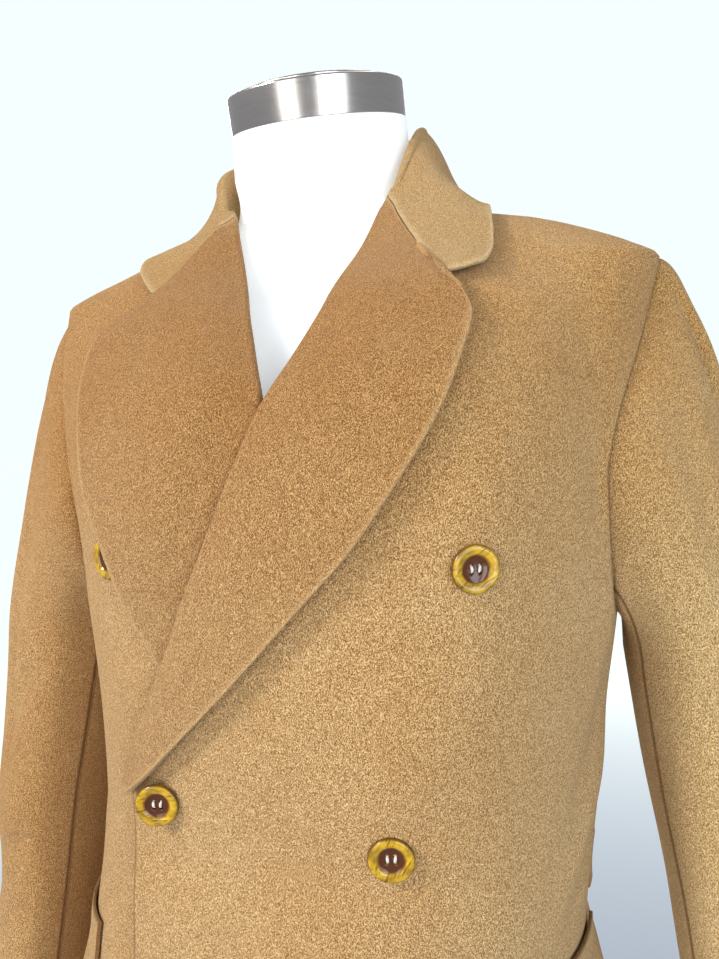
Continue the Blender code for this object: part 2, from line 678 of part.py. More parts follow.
# From the centre back to the gorge seam of each side. The leaf's edge is given as it is seen from above;
# puff is how far the fall bulges between the fold and its edge.
COLLAR_TABLES = {
    1: (
        (0.00, 2.00, NECK, 0.000, 0.0665, 1.526, 0.0000, 0.0780, 0.2),
        (0.16, 1.72, NECK, 0.027, 0.0620, 1.527, 0.0400, 0.0765, 0.3),
        (0.32, 1.42, NECK, 0.052, 0.0470, 1.529, 0.0770, 0.0665, 0.6),
        (0.46, 1.15, NECK, 0.0695, 0.0230, 1.528, 0.1020, 0.0380, 0.9),
        (0.58, 0.95, NECK, 0.0720, 0.0010, 1.521, 0.1130, 0.0020, 1.0),
        (0.70, 0.80, 1.4690, 0.0705, -0.0200, 1.506, 0.1180, -0.0270, 1.0),
        (0.80, 0.70, 1.4655, 0.0675, -0.0350, 1.489, 0.1230, -0.0510, 1.0),
        (0.88, 0.62, 1.4615, 0.0650, -0.0460, 1.476, 0.1251, -0.0665, 1.0),
        (0.94, 0.57, 1.4610, 0.0622, -0.0455, 1.4750, 0.1210, -0.0785, 1.0),
        (0.97, 0.57, 1.4600, 0.0602, -0.0478, 1.4710, 0.1120, -0.0840, 1.0),
    ),
    -1: (
        (0.00, 2.00, NECK, 0.000, 0.0665, 1.526, 0.0000, 0.0780, 0.2),
        (0.16, 1.72, NECK, -0.027, 0.0620, 1.526, -0.0370, 0.0765, 0.1),
        (0.32, 1.42, NECK, -0.052, 0.0470, 1.524, -0.0720, 0.0665, 0.0),
        (0.46, 1.15, NECK, -0.0710, 0.0230, 1.521, -0.0990, 0.0360, 0.0),
        (0.58, 0.95, NECK, -0.0745, 0.0010, 1.512, -0.1130, 0.0000, 0.0),
        (0.70, 0.80, 1.4690, -0.0715, -0.0200, 1.499, -0.1195, -0.0200, 0.0),
        (0.80, 0.70, 1.4655, -0.0655, -0.0350, 1.485, -0.1230, -0.0360, 0.0),
        (0.88, 0.62, 1.4615, -0.0590, -0.0460, 1.474, -0.1210, -0.0480, 0.0),
        (0.94, 0.57, 1.4610, -0.0530, -0.0462, 1.4745, -0.1125, -0.0585, 0.0),
        (0.97, 0.57, 1.4600, -0.0502, -0.0488, 1.4705, -0.1030, -0.0670, 0.0),
    ),
}
GORGE_CLEAR = 0.0036
GORGE_SHARE = 0.8  # the most of the last step that the seam's space takes
GORGE_FOLD_CLEAR = 0.0060  # at the fold, where lapel and collar turn different ways
NECK_CLEAR = 0.0065  # from the neckline in to the collar's face; its wall lies between
FALL_OUT = 0.2  # how much the plain fall swings out as it leaves the fold
PUFF_OUT = 0.35  # and the bulging fall
COLLAR_LIFT = 0.0056  # the fall's outer face above the shoulders, at its edge
collar_tables = {which: table(COLLAR_COLUMNS, rows) for which, rows in COLLAR_TABLES.items()}
COLLAR_PLACES = (0, 0.10, 0.20, 0.30, 0.39, 0.47, 0.55, 0.62, 0.70, 0.77, 0.83, 0.88, 0.92, 0.95, 0.97)


def kept_above(fall, side):
    """The points of the fall moved out to where they lie on the coat, if they would lie within it."""
    for _ in range(2):
        height = height_over(fall[..., 0], fall[..., 1])
        normal = face_normal(turn_over(fall[..., 0], fall[..., 1], height), height)
        above = (fall[..., 2] - height) * normal[..., 2]
        needed = COLLAR_LIFT + (wrap_lift(fall[..., 0], height) if side > 0 else 0.0)
        fall = fall + normal * np.maximum(needed - above, 0)[..., None]
    return fall


def half_collar(side, places=COLLAR_PLACES, heights=LAPEL_HEIGHTS, shares=LAPEL_SHARES):
    """The collar's face from the centre back to the gorge seam of one side."""
    rows = collar_tables[side]
    at = {name: curve(rows["place"], rows[name])(np.array(places)) for name in COLLAR_COLUMNS[1:]}
    at_neck = at["neck_height"] > NECK - 1e-6
    on_edge = np.array([abs(front_turn(h, side)) for h in at["neck_height"]])
    neck_turn = np.where(at_neck, np.maximum(at["neck_turn"], on_edge), on_edge)
    root = face(side * neck_turn, at["neck_height"], -WALL)
    root[:, :2] -= unit(root[:, :2]) * NECK_CLEAR
    crest = np.stack([at["fold_x"], at["fold_y"], at["fold_height"]], -1)
    leaf_x = at["leaf_x"]
    height = height_over(leaf_x, at["leaf_y"])
    turn = turn_over(leaf_x, at["leaf_y"], height)
    edge = face(turn, height, COLLAR_LIFT + (wrap_lift(leaf_x, height) if side > 0 else 0.0))
    edge_normal = face_normal(turn, height)
    along = unit(crest - root)
    out = edge - crest
    out = unit(out - along * (out * along).sum(-1, keepdims=True))
    centre = crest - along * (TURN_GAP + WALL)
    ring = fold_ring(centre, along, out)
    lead = root[:, None] + along[:, None] * SEAM * 2
    fall_way = unit(edge - ring[:, -1])
    end_way = unit(fall_way - edge_normal * (fall_way * edge_normal).sum(-1, keepdims=True))
    puff = at["puff"][:, None]
    start_way = unit((out * FALL_OUT - along) * (1 - puff) + (fall_way + out * PUFF_OUT) * puff)
    fall = leaf(ring[:, -1], start_way, edge, end_way, shares[1:])
    fall = kept_above(fall, side)
    grid = np.concatenate([lead, ring, fall], axis=1)
    gorge = lapel_grid(side, heights, shares)[-1]
    clear = np.where(np.arange(len(gorge)) > TURN_STEPS + 1, GORGE_CLEAR, GORGE_FOLD_CLEAR)
    gap = grid[-1] - gorge
    share = np.minimum(clear / np.linalg.norm(gap, axis=-1), GORGE_SHARE)
    return np.concatenate([grid, (gorge + gap * share[:, None])[None]], axis=0)


def turned_grids(places=COLLAR_PLACES, heights=LAPEL_HEIGHTS, shares=LAPEL_SHARES):
    """The faces and normals of the right lapel, collar and left lapel, which share those at the gorges."""
    right, left = lapel_grid(-1, heights, shares), lapel_grid(1, heights, shares)
    collar = np.concatenate(
        [half_collar(-1, places, heights, shares)[:0:-1], half_collar(1, places, heights, shares)]
    )
    grids = {"lapel_right": right, "collar": collar, "lapel_left": left[::-1]}
    grids = {name: grid[:, ::-1] for name, grid in grids.items()}
    normals = {name: grid_normals(grid) for name, grid in grids.items()}
    flat = slice(0, len(shares) - 1)
    for before, after in (("lapel_right", "collar"), ("collar", "lapel_left")):
        shared = unit(normals[before][-1, flat] + normals[after][0, flat])
        normals[before][-1, flat] = normals[after][0, flat] = shared
    return {name: (grid, normals[name]) for name, grid in grids.items()}


# ---- Flaps, half belt and buttons ----

FLAP_TOP = 0.990  # at the flap's front end
FLAP_DROP = 0.010  # how much lower its rear end is
FLAP_DEPTH = 0.062
FLAP_TURNS = (0.50, 0.955)
FLAP_CORNER = 0.016
FLAP_COLUMNS = 11
BELT_TOP = 1.008
BELT_DEPTH = 0.040
BELT_TURNS = (1.045, 2.955)
BELT_CORNER = 0.014
BELT_COLUMNS = 25
TURN_LENGTH = 0.30  # how long one turn of the coat is at the waist
TRIM_LIFT = 0.0040  # outer face of what lies flat on a panel
BELT_SEAT = 0.0027  # outer face of the half belt at its sewn ends
BELT_RISE = 0.06  # the share of its length over which it leaves the coat at each end
BELT_BOW = 0.0062  # how much more it stands off between them

BUTTON_RADIUS = 0.0132
BUTTON_THICK = 0.0042
BUTTON_FLAT = 0.80  # share of the radius that the flat back reaches
HOLE_RADIUS = 0.0011
HOLE_PITCH = 0.0042
BUTTON_STEPS = 14
HOLE_STEPS = 6
DRILL_LENGTH = 0.02
BUTTON_PROFILE = (
    # share of the radius, share of the thickness: back centre, round the rim, down into the dish
    (0.00, 0.00),
    (BUTTON_FLAT, 0.00),
    (1.00, 0.45),
    (0.97, 0.86),
    (0.84, 1.00),
    (0.62, 0.90),
    (0.56, 0.60),
    (0.00, 0.50),
)
# Name, which front it is sewn to, x, height, how many degrees it hangs turned on its threads, and how far
# its back stands off the smooth surface, which the panel's flats lie above in the waist and below elsewhere
BUTTONS = (
    ("button_1_left", 1, 0.1147, 1.2423, 0, -0.0003),
    ("button_2_left", 1, 0.0671, 1.0830, 0, 0.0006),
    ("button_3_left", 1, 0.0671, 0.9280, 0, 0.0001),
    ("button_1_right", -1, -0.1108, 1.2424, 0, 0.0002),
    ("button_2_right", 1, -0.0690, 1.1005, 26, -0.0002),
    ("button_3_right", 1, -0.0715, 0.9425, 4, 0.0),
)


def add_button(name, side, x, height, turned, stand_off, horn, cutter_finish):
    swing = math.radians(turned)
    flat = front_normal(side, x, height)
    seat = on_front(side, x, height) + flat * (stand_off + BUTTON_FLAT * BUTTON_RADIUS * math.sin(swing))
    sideways = unit(np.cross(np.array([0, 0, 1.0]), flat))
    normal = flat * math.cos(swing) + sideways * math.sin(swing)
    sideways = unit(np.cross(np.array([0, 0, 1.0]), normal))
    upright = np.cross(normal, sideways)
    frame = np.stack([sideways, upright, normal], -1)
    steps = BUTTON_STEPS
    points = []
    for reach, level in BUTTON_PROFILE:
        for i in range(steps if reach else 1):
            angle = 2 * math.pi * i / steps
            local = np.array([math.cos(angle) * reach, math.sin(angle) * reach, 0]) * BUTTON_RADIUS
            local[2] = level * BUTTON_THICK
            points.append(seat + frame @ local)
    faces = []
    for i in range(steps):
        j = (i + 1) % steps
        faces.append([0, 1 + j, 1 + i])
        for ring in range(len(BUTTON_PROFILE) - 3):
            low = 1 + ring * steps
            faces.append([low + i, low + j, low + steps + j, low + steps + i])
        last = 1 + (len(BUTTON_PROFILE) - 3) * steps
        faces.append([last + i, last + j, len(points) - 1])
    button = add_object(name, points, faces, horn)
    holes = bmesh.new()
    for across, up in ((1, 1), (1, -1), (-1, 1), (-1, -1)):
        made = bmesh.ops.create_cone(
            holes,
            cap_ends=True,
            segments=HOLE_STEPS,
            radius1=HOLE_RADIUS,
            radius2=HOLE_RADIUS,
            depth=DRILL_LENGTH,
        )
        bmesh.ops.translate(
            holes, verts=made["verts"], vec=(across * HOLE_PITCH / 2, up * HOLE_PITCH / 2, 0)
        )
    for vertex in holes.verts:
        vertex.co = (seat + frame @ np.array(vertex.co)).tolist()
    mesh = bpy.data.meshes.new(name + "_holes")
    holes.to_mesh(mesh)
    holes.free()
    mesh.materials.append(cutter_finish)
    cutter = bpy.data.objects.new(name + "_holes", mesh)
    cutter.hide_render = True
    cutter.display_type = "WIRE"
    bpy.context.scene.collection.objects.link(cutter)
    cut = button.modifiers.new("Holes", "BOOLEAN")
    cut.operation = "DIFFERENCE"
    cut.object = cutter
    return button


def strip_grid(turns, tops, depth, columns, corner):
    """Turns and heights of a strip on the coat's face, with its lower corners rounded."""
    share = np.linspace(0, 1, columns)
    turn = turns[0] + (turns[1] - turns[0]) * share
    top = tops[0] + (tops[1] - tops[0]) * share
    length = abs(turns[1] - turns[0]) * TURN_LENGTH
    from_end = np.minimum(share, 1 - share) * length
    inside = np.clip(from_end / corner, 0, 1)
    drop = depth - corner * (1 - np.sqrt(1 - (1 - inside) ** 2))
    rows = np.linspace(0, 1, 4)[:, None]
    heights = (top - drop) * (1 - rows) + top * rows
    return np.broadcast_to(turn, heights.shape), heights


def add_strip(name, turns, tops, depth, columns, corner, finish, bow=0.0):
    """A strip that lies on the coat. With a bow, its upper corners are rounded and its middle stands off."""
    turn, height = strip_grid(turns, tops, depth, columns, corner)
    under = wrap_lift(ring_point(turn, height)[..., 0], height) if 0 < turns[0] < 1 else 0.0
    lift = np.broadcast_to(under + (BELT_SEAT if bow else TRIM_LIFT), turn.shape)
    if bow:
        middle = tops[0] - depth / 2
        height = height[0] + 2 * (middle - height[0]) * np.linspace(0, 1, len(height))[:, None]
        share = np.linspace(0, 1, columns)
        lift = lift + bow * smooth(np.minimum(share, 1 - share), 0, BELT_RISE)
    if turns[1] < turns[0]:
        turn, height, lift = turn[:, ::-1], height[:, ::-1], lift[:, ::-1]
    return add_wall(name, face(turn, height, lift), face(turn, height, lift - WALL), finish)


# ---- Dress form and stand ----

FORM_COLUMNS = ("height", "half_width", "front", "back", "centre_y", "tilt")
SEAT = 0.0040  # the coat's wall and the space under it, measured upright on the shoulders
NECK_RADIUS = 0.0625
FORM_FOOT = 0.800
CAP_CENTRE = (-0.001, -0.001, 1.5305)
CAP_TILT = 15.0  # degrees forward
FORM_RINGS = (
    (FORM_FOOT, 0.150, 0.112, 0.118, 0.0, 0.0),
    (0.860, 0.164, 0.122, 0.128, 0.0, 0.0),
    (0.930, 0.160, 0.118, 0.122, 0.0, 0.0),
    (1.020, 0.138, 0.104, 0.100, 0.0, 0.0),
    (1.100, 0.145, 0.108, 0.102, 0.0, 0.0),
    (1.180, 0.160, 0.120, 0.110, 0.0, 0.0),
    (1.250, 0.174, 0.124, 0.114, 0.0, 0.0),
    (1.310, 0.184, 0.112, 0.112, 0.0, 0.0),
    (1.355, 0.190, 0.096, 0.104, 0.0, 0.0),
    (1.388, 0.194, 0.079, 0.088, 0.0, 0.0),
    (1.410, 0.197, 0.064, 0.071, 0.0, 0.0),
)
SHOULDER_ROWS = (1.4365, 1.446, GORGE)  # the coat's rows that rest on the form
SHOULDER_BAND = (1.43, 1.47)  # heights at which the form keeps under the coat's sideways shift
SHOULDER_INSET = 0.006  # from the coat's outer face to the form, level
FORM_SHOULDER = 0.200  # half of the form's width at the shoulders
FORM_STEPS = 32
NECK_RINGS = (
    (1.4605, 0.0770, 0.0510, 0.0530, 0.0, 0.00),
    (1.4695, 0.0635, 0.0530, 0.0540, 0.0, 0.02),
    (1.482, 0.0612, 0.0565, 0.0570, 0.0, 0.08),
    (1.500, 0.0630, 0.0605, 0.0610, -0.001, 0.18),
)


def form_ring(row, steps):
    height, half_width, front, back, centre_y, tilt = row
    in_band = SHOULDER_BAND[0] < height < SHOULDER_BAND[1]
    centre_x = float(coat["shift"](height + SEAT)) if in_band else 0.0
    points = []
    for i in range(steps):
        angle = 2 * math.pi * i / steps
        x = centre_x + half_width * math.sin(angle)
        y = -(front if math.cos(angle) > 0 else back) * math.cos(angle)
        points.append((x, centre_y + y, height + tilt * y))
    return points


def add_form(finish):
    rows = list(FORM_RINGS)
    for height in SHOULDER_ROWS:
        half_width = float(coat["half_width"](height))
        front = float(coat["front"](height)) - SHOULDER_INSET
        back = float(coat["back"](height)) - SHOULDER_INSET
        rows.append((height - SEAT, min(half_width, FORM_SHOULDER), front, back, 0.0, 0.0))
    rows += NECK_RINGS
    steps = FORM_STEPS
    points = [p for row in rows for p in form_ring(row, steps)]
    tilt = math.radians(CAP_TILT)
    for i in range(steps):
        angle = 2 * math.pi * i / steps
        x = NECK_RADIUS * math.sin(angle)
        y = -NECK_RADIUS * math.cos(angle)
        points.append(
            (
                CAP_CENTRE[0] + x,
                CAP_CENTRE[1] + y * math.cos(tilt) + SEAM * math.sin(tilt),
                CAP_CENTRE[2] + y * math.sin(tilt) - SEAM * math.cos(tilt),
            )
        )
    rings = len(points) // steps
    faces = []
    for ring in range(rings - 1):
        for i in range(steps):
            j = (i + 1) % steps
            low = ring * steps
            faces.append([low + i, low + j, low + steps + j, low + steps + i])
    faces.append(list(range(steps))[::-1])
    faces.append(list(range((rings - 1) * steps, rings * steps)))
    return add_object("form_body", points, faces, finish, 60)


def add_turned_solid(name, profile, steps, finish, centre=(0, 0, 0), tilt=0.0):
    """A solid turned about its own axis. profile runs from the foot's middle outward and up."""
    points = []
    for reach, level in profile:
        for i in range(steps if reach else 1):
            angle = 2 * math.pi * i / steps
            x, y = math.cos(angle) * reach, math.sin(angle) * reach
            points.append(
                (
                    centre[0] + x,
                    centre[1] + y * math.cos(tilt) - level * math.sin(tilt),
                    centre[2] + y * math.sin(tilt) + level * math.cos(tilt),
                )
            )
    faces = []
    bands = len(profile) - 3
    for i in range(steps):
        j = (i + 1) % steps
        faces.append([0, 1 + j, 1 + i])
        for band in range(bands):
            low = 1 + band * steps
            faces.append([low + i, low + j, low + steps + j, low + steps + i])
        last = 1 + bands * steps
        faces.append([last + i, last + j, len(points) - 1])
    return add_object(name, points, faces, finish)


CAP_RADIUS = 0.0620
CAP_HEIGHT = 0.0240
DISC_RADIUS = 0.0500
DISC_HEIGHT = 0.0035
CAP_ROUND = 0.0015  # the chamfer at the drum's and the disc's edges
DISC_ROUND = 0.0012
DISC_FOOT = 0.0004  # how much wider the disc is at its foot
CAP_PROFILE = (
    (0.0, 0.0),
    (CAP_RADIUS, 0.0),
    (CAP_RADIUS, CAP_HEIGHT - CAP_ROUND),
    (CAP_RADIUS - CAP_ROUND, CAP_HEIGHT),
    (DISC_RADIUS + DISC_FOOT, CAP_HEIGHT),
    (DISC_RADIUS, CAP_HEIGHT + DISC_HEIGHT - DISC_ROUND),
    (DISC_RADIUS - CAP_ROUND, CAP_HEIGHT + DISC_HEIGHT),
    (0.0, CAP_HEIGHT + DISC_HEIGHT),
)
POLE_RADIUS = 0.016
BASE_RADIUS = 0.170
BASE_THICK = 0.012
BASE_ROUND = 0.003
ROUND_STEPS = 40
POLE_STEPS = 20
BASE_PROFILE = (
    (0.0, 0.0),
    (BASE_RADIUS, 0.0),
    (BASE_RADIUS, BASE_THICK - BASE_ROUND),
    (BASE_RADIUS - BASE_ROUND, BASE_THICK),
    (0.0, BASE_THICK),
)
POLE_PROFILE = (
    (0.0, BASE_THICK + SEAM),
    (POLE_RADIUS, BASE_THICK + SEAM),
    (POLE_RADIUS, FORM_FOOT - SEAM),
    (0.0, FORM_FOOT - SEAM),
)


# ---- The whole ----

SIDE_NAMES = {1: "left", -1: "right"}
FRONT_COLUMNS = 12
BACK_COLUMNS = 9

for old in list(bpy.data.objects):
    bpy.data.objects.remove(old, do_unlink=True)

camel = material("camel_wool", (0.56, 0.36, 0.16), 0.95)
horn = material("button_horn", (0.42, 0.26, 0.05), 0.25)
shell = material("form_white", (0.92, 0.93, 0.93), 0.5)
steel = material("brushed_steel", (0.72, 0.71, 0.70), 0.3, 1.0)

for side, side_name in SIDE_NAMES.items():
    add_panel("front_" + side_name, front_grid(side, FRONT_COLUMNS), camel)
    add_panel("back_" + side_name, back_grid(side, BACK_COLUMNS), camel)
    add_sleeve(side, True, camel)
    add_sleeve(side, False, camel)
    add_strip(
        "pocket_flap_" + side_name,
        [side * turn for turn in FLAP_TURNS],
        (FLAP_TOP, FLAP_TOP - FLAP_DROP),
        FLAP_DEPTH,
        FLAP_COLUMNS,
        FLAP_CORNER,
        camel,
    )

for name, (grid, normal) in turned_grids().items():
    add_wall(name, grid, grid - normal * WALL, camel)
for name, side, x, height, turned, stand_off in BUTTONS:
    add_button(name, side, x, height, turned, stand_off, horn, steel)
add_strip(
    "half_belt",
    BELT_TURNS,
    (BELT_TOP, BELT_TOP),
    BELT_DEPTH,
    BELT_COLUMNS,
    BELT_CORNER,
    camel,
    BELT_BOW,
)
add_form(shell)
add_turned_solid("neck_cap", CAP_PROFILE, ROUND_STEPS, steel, CAP_CENTRE, math.radians(CAP_TILT))
add_turned_solid("stand_pole", POLE_PROFILE, POLE_STEPS, steel)
add_turned_solid("stand_base", BASE_PROFILE, ROUND_STEPS, steel)
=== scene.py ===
"""Double-breasted long coat of camel napped wool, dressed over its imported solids: finer cloth, nap, creases,
horn buttons with their thread, the form, its steel cap and stand, and a plain pale studio."""

import math

import bmesh
import bpy
import numpy as np
from mathutils import Matrix, Vector


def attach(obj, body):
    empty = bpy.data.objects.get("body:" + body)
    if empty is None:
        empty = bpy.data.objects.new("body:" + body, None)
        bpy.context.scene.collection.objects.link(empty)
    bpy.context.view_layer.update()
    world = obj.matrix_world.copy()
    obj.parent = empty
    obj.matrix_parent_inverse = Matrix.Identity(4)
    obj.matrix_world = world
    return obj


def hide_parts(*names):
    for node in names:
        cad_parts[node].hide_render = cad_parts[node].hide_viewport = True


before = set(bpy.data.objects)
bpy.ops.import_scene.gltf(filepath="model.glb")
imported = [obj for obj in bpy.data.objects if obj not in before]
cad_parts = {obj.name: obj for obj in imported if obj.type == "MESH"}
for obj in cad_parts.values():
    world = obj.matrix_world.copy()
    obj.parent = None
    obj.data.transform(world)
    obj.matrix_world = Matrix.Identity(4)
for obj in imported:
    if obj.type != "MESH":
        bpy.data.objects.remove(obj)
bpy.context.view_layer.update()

# ========================================
# Fronts and backs: four panels of camel overcoating, 2.5 mm thick with their lining, sewn at the sides,
# shoulders and centre back. The left front lies over the right one. The skirt hangs in soft folds, and
# the cloth dips beside the armholes and at the waist.
# ========================================

WALL = 0.0025
SEAM = 0.0003  # the space kept between two pieces at a seam
HEM = 0.375
NECK = 1.474
SHOULDER_TIP = 1.417
UNDERARM = 1.188
GORGE = 1.457  # height of the top of the roll lines
DROP = 0.0055  # how much lower the coat hangs at the wearer's right shoulder
SIDE_NAMES = {1: "left", -1: "right"}

COAT_COLUMNS = ("height", "half_width", "front", "back", "square", "shift")
COAT_RINGS = (
    (0.375, 0.262, 0.190, 0.192, 2.20, -0.010),
    (0.600, 0.243, 0.180, 0.178, 2.25, -0.010),
    (0.850, 0.209, 0.168, 0.160, 2.35, -0.010),
    (0.925, 0.192, 0.163, 0.150, 2.40, -0.010),
    (0.975, 0.181, 0.157, 0.140, 2.40, -0.009),
    (1.020, 0.180, 0.148, 0.133, 2.40, -0.004),
    (1.070, 0.182, 0.140, 0.128, 2.35, 0.000),
    (1.130, 0.1845, 0.144, 0.130, 2.30, 0.003),
    (1.188, 0.190, 0.146, 0.134, 2.30, 0.005),
    (1.250, 0.197, 0.146, 0.136, 2.30, 0.005),
    (1.330, 0.2085, 0.132, 0.130, 2.25, 0.003),
    (1.380, 0.2155, 0.106, 0.110, 2.20, 0.003),
    (1.417, 0.2190, 0.076, 0.082, 2.10, 0.005),
    (1.426, 0.205, 0.071, 0.077, 2.05, 0.005),
    (1.4365, 0.181, 0.0665, 0.0725, 2.00, 0.005),
    (1.446, 0.152, 0.063, 0.068, 2.00, 0.0045),
    (1.4535, 0.112, 0.061, 0.066, 2.00, 0.004),
    (1.474, 0.077, 0.060, 0.066, 2.00, 0.003),
)
FOLD_GROWTH = 0.8  # how the skirt's folds deepen on the way from their top to the hem
# Soft folds of the skirt: turn, width in turns, height of the top, and how far out of the ring at the hem.
SKIRT_FOLDS = (
    (-1.62, 0.15, 0.98, 0.011),
    (-1.18, 0.13, 0.90, 0.010),
    (-0.72, 0.12, 0.93, 0.008),
    (-0.20, 0.14, 0.80, -0.005),
    (0.34, 0.13, 0.86, 0.006),
    (0.80, 0.12, 0.95, 0.009),
    (1.22, 0.14, 0.92, 0.011),
    (1.66, 0.13, 0.98, 0.010),
)
# Where each front ends at the middle: its free edge below, and above that the line on which it rolls over.
MIDDLE_COLUMNS = ("height", "x")
MIDDLE_LINES = {
    1: (
        (HEM, -0.100),
        (1.100, -0.0965),
        (1.134, -0.0832),
        (1.164, -0.0666),
        (1.190, -0.0527),
        (1.226, -0.0370),
        (1.262, -0.0193),
        (1.295, -0.0049),
        (1.325, 0.0082),
        (1.352, 0.0256),
        (1.378, 0.0378),
        (1.402, 0.0460),
        (GORGE, 0.0598),
    ),
    -1: (
        (HEM, 0.100),
        (0.600, 0.098),
        (0.800, 0.088),
        (0.920, 0.070),
        (0.990, 0.050),
        (1.062, 0.024),
        (1.120, 0.018),
        (1.190, 0.013),
        (1.250, 0.008),
        (1.300, 0.003),
        (1.330, -0.002),
        (1.364, -0.0130),
        (1.389, -0.0230),
        (1.418, -0.0355),
        (GORGE, -0.0480),
    ),
}
WRAP_LIFT = 0.0036  # how far the over-front lies above the under-front
LAPEL_LIFT = 0.0064  # more of it where the under-lapel lies between them
WRAP_START = 0.178
WRAP_FULL = 0.108
ARMHOLE_COLUMNS = ("height", "front_x", "back_x")
ARMHOLE = (
    (UNDERARM, 0.1900, 0.1900),
    (1.195, 0.1880, 0.1865),
    (1.207, 0.1865, 0.1840),
    (1.232, 0.1850, 0.1820),
    (1.257, 0.1843, 0.1815),
    (1.281, 0.1845, 0.1825),
    (1.310, 0.1900, 0.1880),
    (1.338, 0.1985, 0.1965),
    (1.368, 0.2082, 0.2067),
    (1.393, 0.2145, 0.2135),
    (SHOULDER_TIP, 0.2190, 0.2190),
)
CREASE_GAIN = 1.5  # creases of body and sleeves are this much deeper than their tables say
CREASE_METRES = 0.26  # about the length of one turn round the chest
BODY_WAVE = (0.006, 5.0, 7.0)  # how far a crease snakes, how often, and how much that differs between them
BODY_FADES = (-0.12, 0.30, 0.66, 1.15)  # the parts of its length over which a crease comes up and dies away
# Creases of the body: each runs from a turn and height to another turn and height, is so wide, and stands
# so far out, or in where negative, in metres. Turn 0 is the front centre, 1 the wearer's left, 2 the back.
BODY_CREASES = (
    (0.60, 1.395, 0.70, 1.235, 0.020, -0.0026),
    (0.74, 1.330, 0.80, 1.160, 0.013, 0.0018),
    (0.86, 1.170, 0.70, 1.065, 0.012, -0.0022),
    (0.92, 1.120, 0.66, 1.020, 0.010, 0.0018),
    (0.90, 1.075, 0.74, 1.000, 0.009, -0.0016),
    (0.30, 1.190, 0.12, 1.020, 0.030, 0.0014),
    (0.45, 1.060, 0.28, 0.900, 0.026, -0.0014),
    (-0.58, 1.380, -0.68, 1.220, 0.018, -0.0026),
    (-0.76, 1.320, -0.80, 1.180, 0.012, 0.0018),
    (-0.84, 1.180, -0.66, 1.050, 0.013, -0.0024),
    (-0.90, 1.110, -0.70, 1.000, 0.010, 0.0018),
    (-0.40, 1.060, -0.20, 0.930, 0.024, -0.0012),
    (1.42, 1.385, 1.30, 1.230, 0.020, -0.0028),
    (1.22, 1.300, 1.18, 1.150, 0.013, 0.0022),
    (1.62, 1.330, 1.50, 1.150, 0.026, -0.0016),
    (1.16, 1.150, 1.40, 1.050, 0.012, -0.0022),
    (1.10, 1.100, 1.30, 1.020, 0.010, 0.0018),
    (1.75, 1.120, 1.60, 1.010, 0.020, 0.0016),
    (-1.40, 1.390, -1.31, 1.250, 0.019, -0.0026),
    (-1.24, 1.290, -1.17, 1.170, 0.012, 0.0020),
    (-1.58, 1.340, -1.52, 1.170, 0.024, -0.0016),
    (-1.14, 1.160, -1.36, 1.060, 0.012, -0.0024),
    (-1.12, 1.090, -1.28, 1.000, 0.010, 0.0016),
    (-1.78, 1.110, -1.66, 1.000, 0.018, 0.0014),
    (2.00, 1.440, 2.00, 1.330, 0.030, -0.0014),
    (0.20, 0.860, 0.26, 0.480, 0.030, -0.0030),
    (0.58, 0.840, 0.60, 0.420, 0.026, 0.0034),
    (1.02, 0.900, 1.02, 0.500, 0.020, -0.0040),
    (1.46, 0.880, 1.44, 0.440, 0.026, -0.0042),
    (1.86, 0.860, 1.84, 0.460, 0.024, 0.0036),
    (-0.46, 0.850, -0.46, 0.430, 0.026, -0.0036),
    (-0.95, 0.900, -0.97, 0.520, 0.020, -0.0042),
    (-1.40, 0.880, -1.40, 0.450, 0.026, -0.0040),
    (-1.88, 0.850, -1.86, 0.430, 0.022, -0.0034),
)


def table(columns, rows):
    """The rows of a table as one array for each named column."""
    return dict(zip(columns, np.array(rows, float).T))


def curve(x, y):
    """A smooth function through the given points that never overshoots them."""
    x, y = np.asarray(x, float), np.asarray(y, float)
    step = np.diff(x)
    rise = np.diff(y) / step
    slope = np.zeros_like(y)
    slope[0], slope[-1] = rise[0], rise[-1]
    for i in range(1, len(y) - 1):
        if rise[i - 1] * rise[i] > 0:
            before, after = 2 * step[i] + step[i - 1], step[i] + 2 * step[i - 1]
            slope[i] = (before + after) / (before / rise[i - 1] + after / rise[i])

    def at(value):
        value = np.clip(value, x[0], x[-1])
        i = np.clip(np.searchsorted(x, value, side="right") - 1, 0, len(step) - 1)
        s = (value - x[i]) / step[i]
        return (
            y[i] * (1 + 2 * s) * (1 - s) ** 2
            + step[i] * slope[i] * s * (1 - s) ** 2
            + y[i + 1] * s**2 * (3 - 2 * s)
            + step[i] * slope[i + 1] * s**2 * (s - 1)
        )

    return at


def smooth(value, start, end):
    """0 at start, 1 at end, and an S-shaped way between them."""
    s = np.clip((np.asarray(value, float) - start) / (end - start), 0, 1)
    return s * s * (3 - 2 * s)


def hermite(s):
    """The weights of a start, the way out of it, an end and the way into it, at a share of the way."""
    return (1 + 2 * s) * (1 - s) ** 2, s * (1 - s) ** 2, s**2 * (3 - 2 * s), s**2 * (s - 1)


def unit(vectors):
    """The same directions, each with a length of one."""
    return vectors / np.maximum(np.linalg.norm(vectors, axis=-1, keepdims=True), 1e-12)


rings = table(COAT_COLUMNS, COAT_RINGS)
coat = {name: curve(rings["height"], rings[name]) for name in COAT_COLUMNS[1:]}
armhole = table(ARMHOLE_COLUMNS, ARMHOLE)
armhole_front = curve(armhole["height"], armhole["front_x"])
armhole_back = curve(armhole["height"], armhole["back_x"])
middle_x = {}
for which, line in MIDDLE_LINES.items():
    middle = table(MIDDLE_COLUMNS, line)
    middle_x[which] = curve(middle["height"], middle["x"])


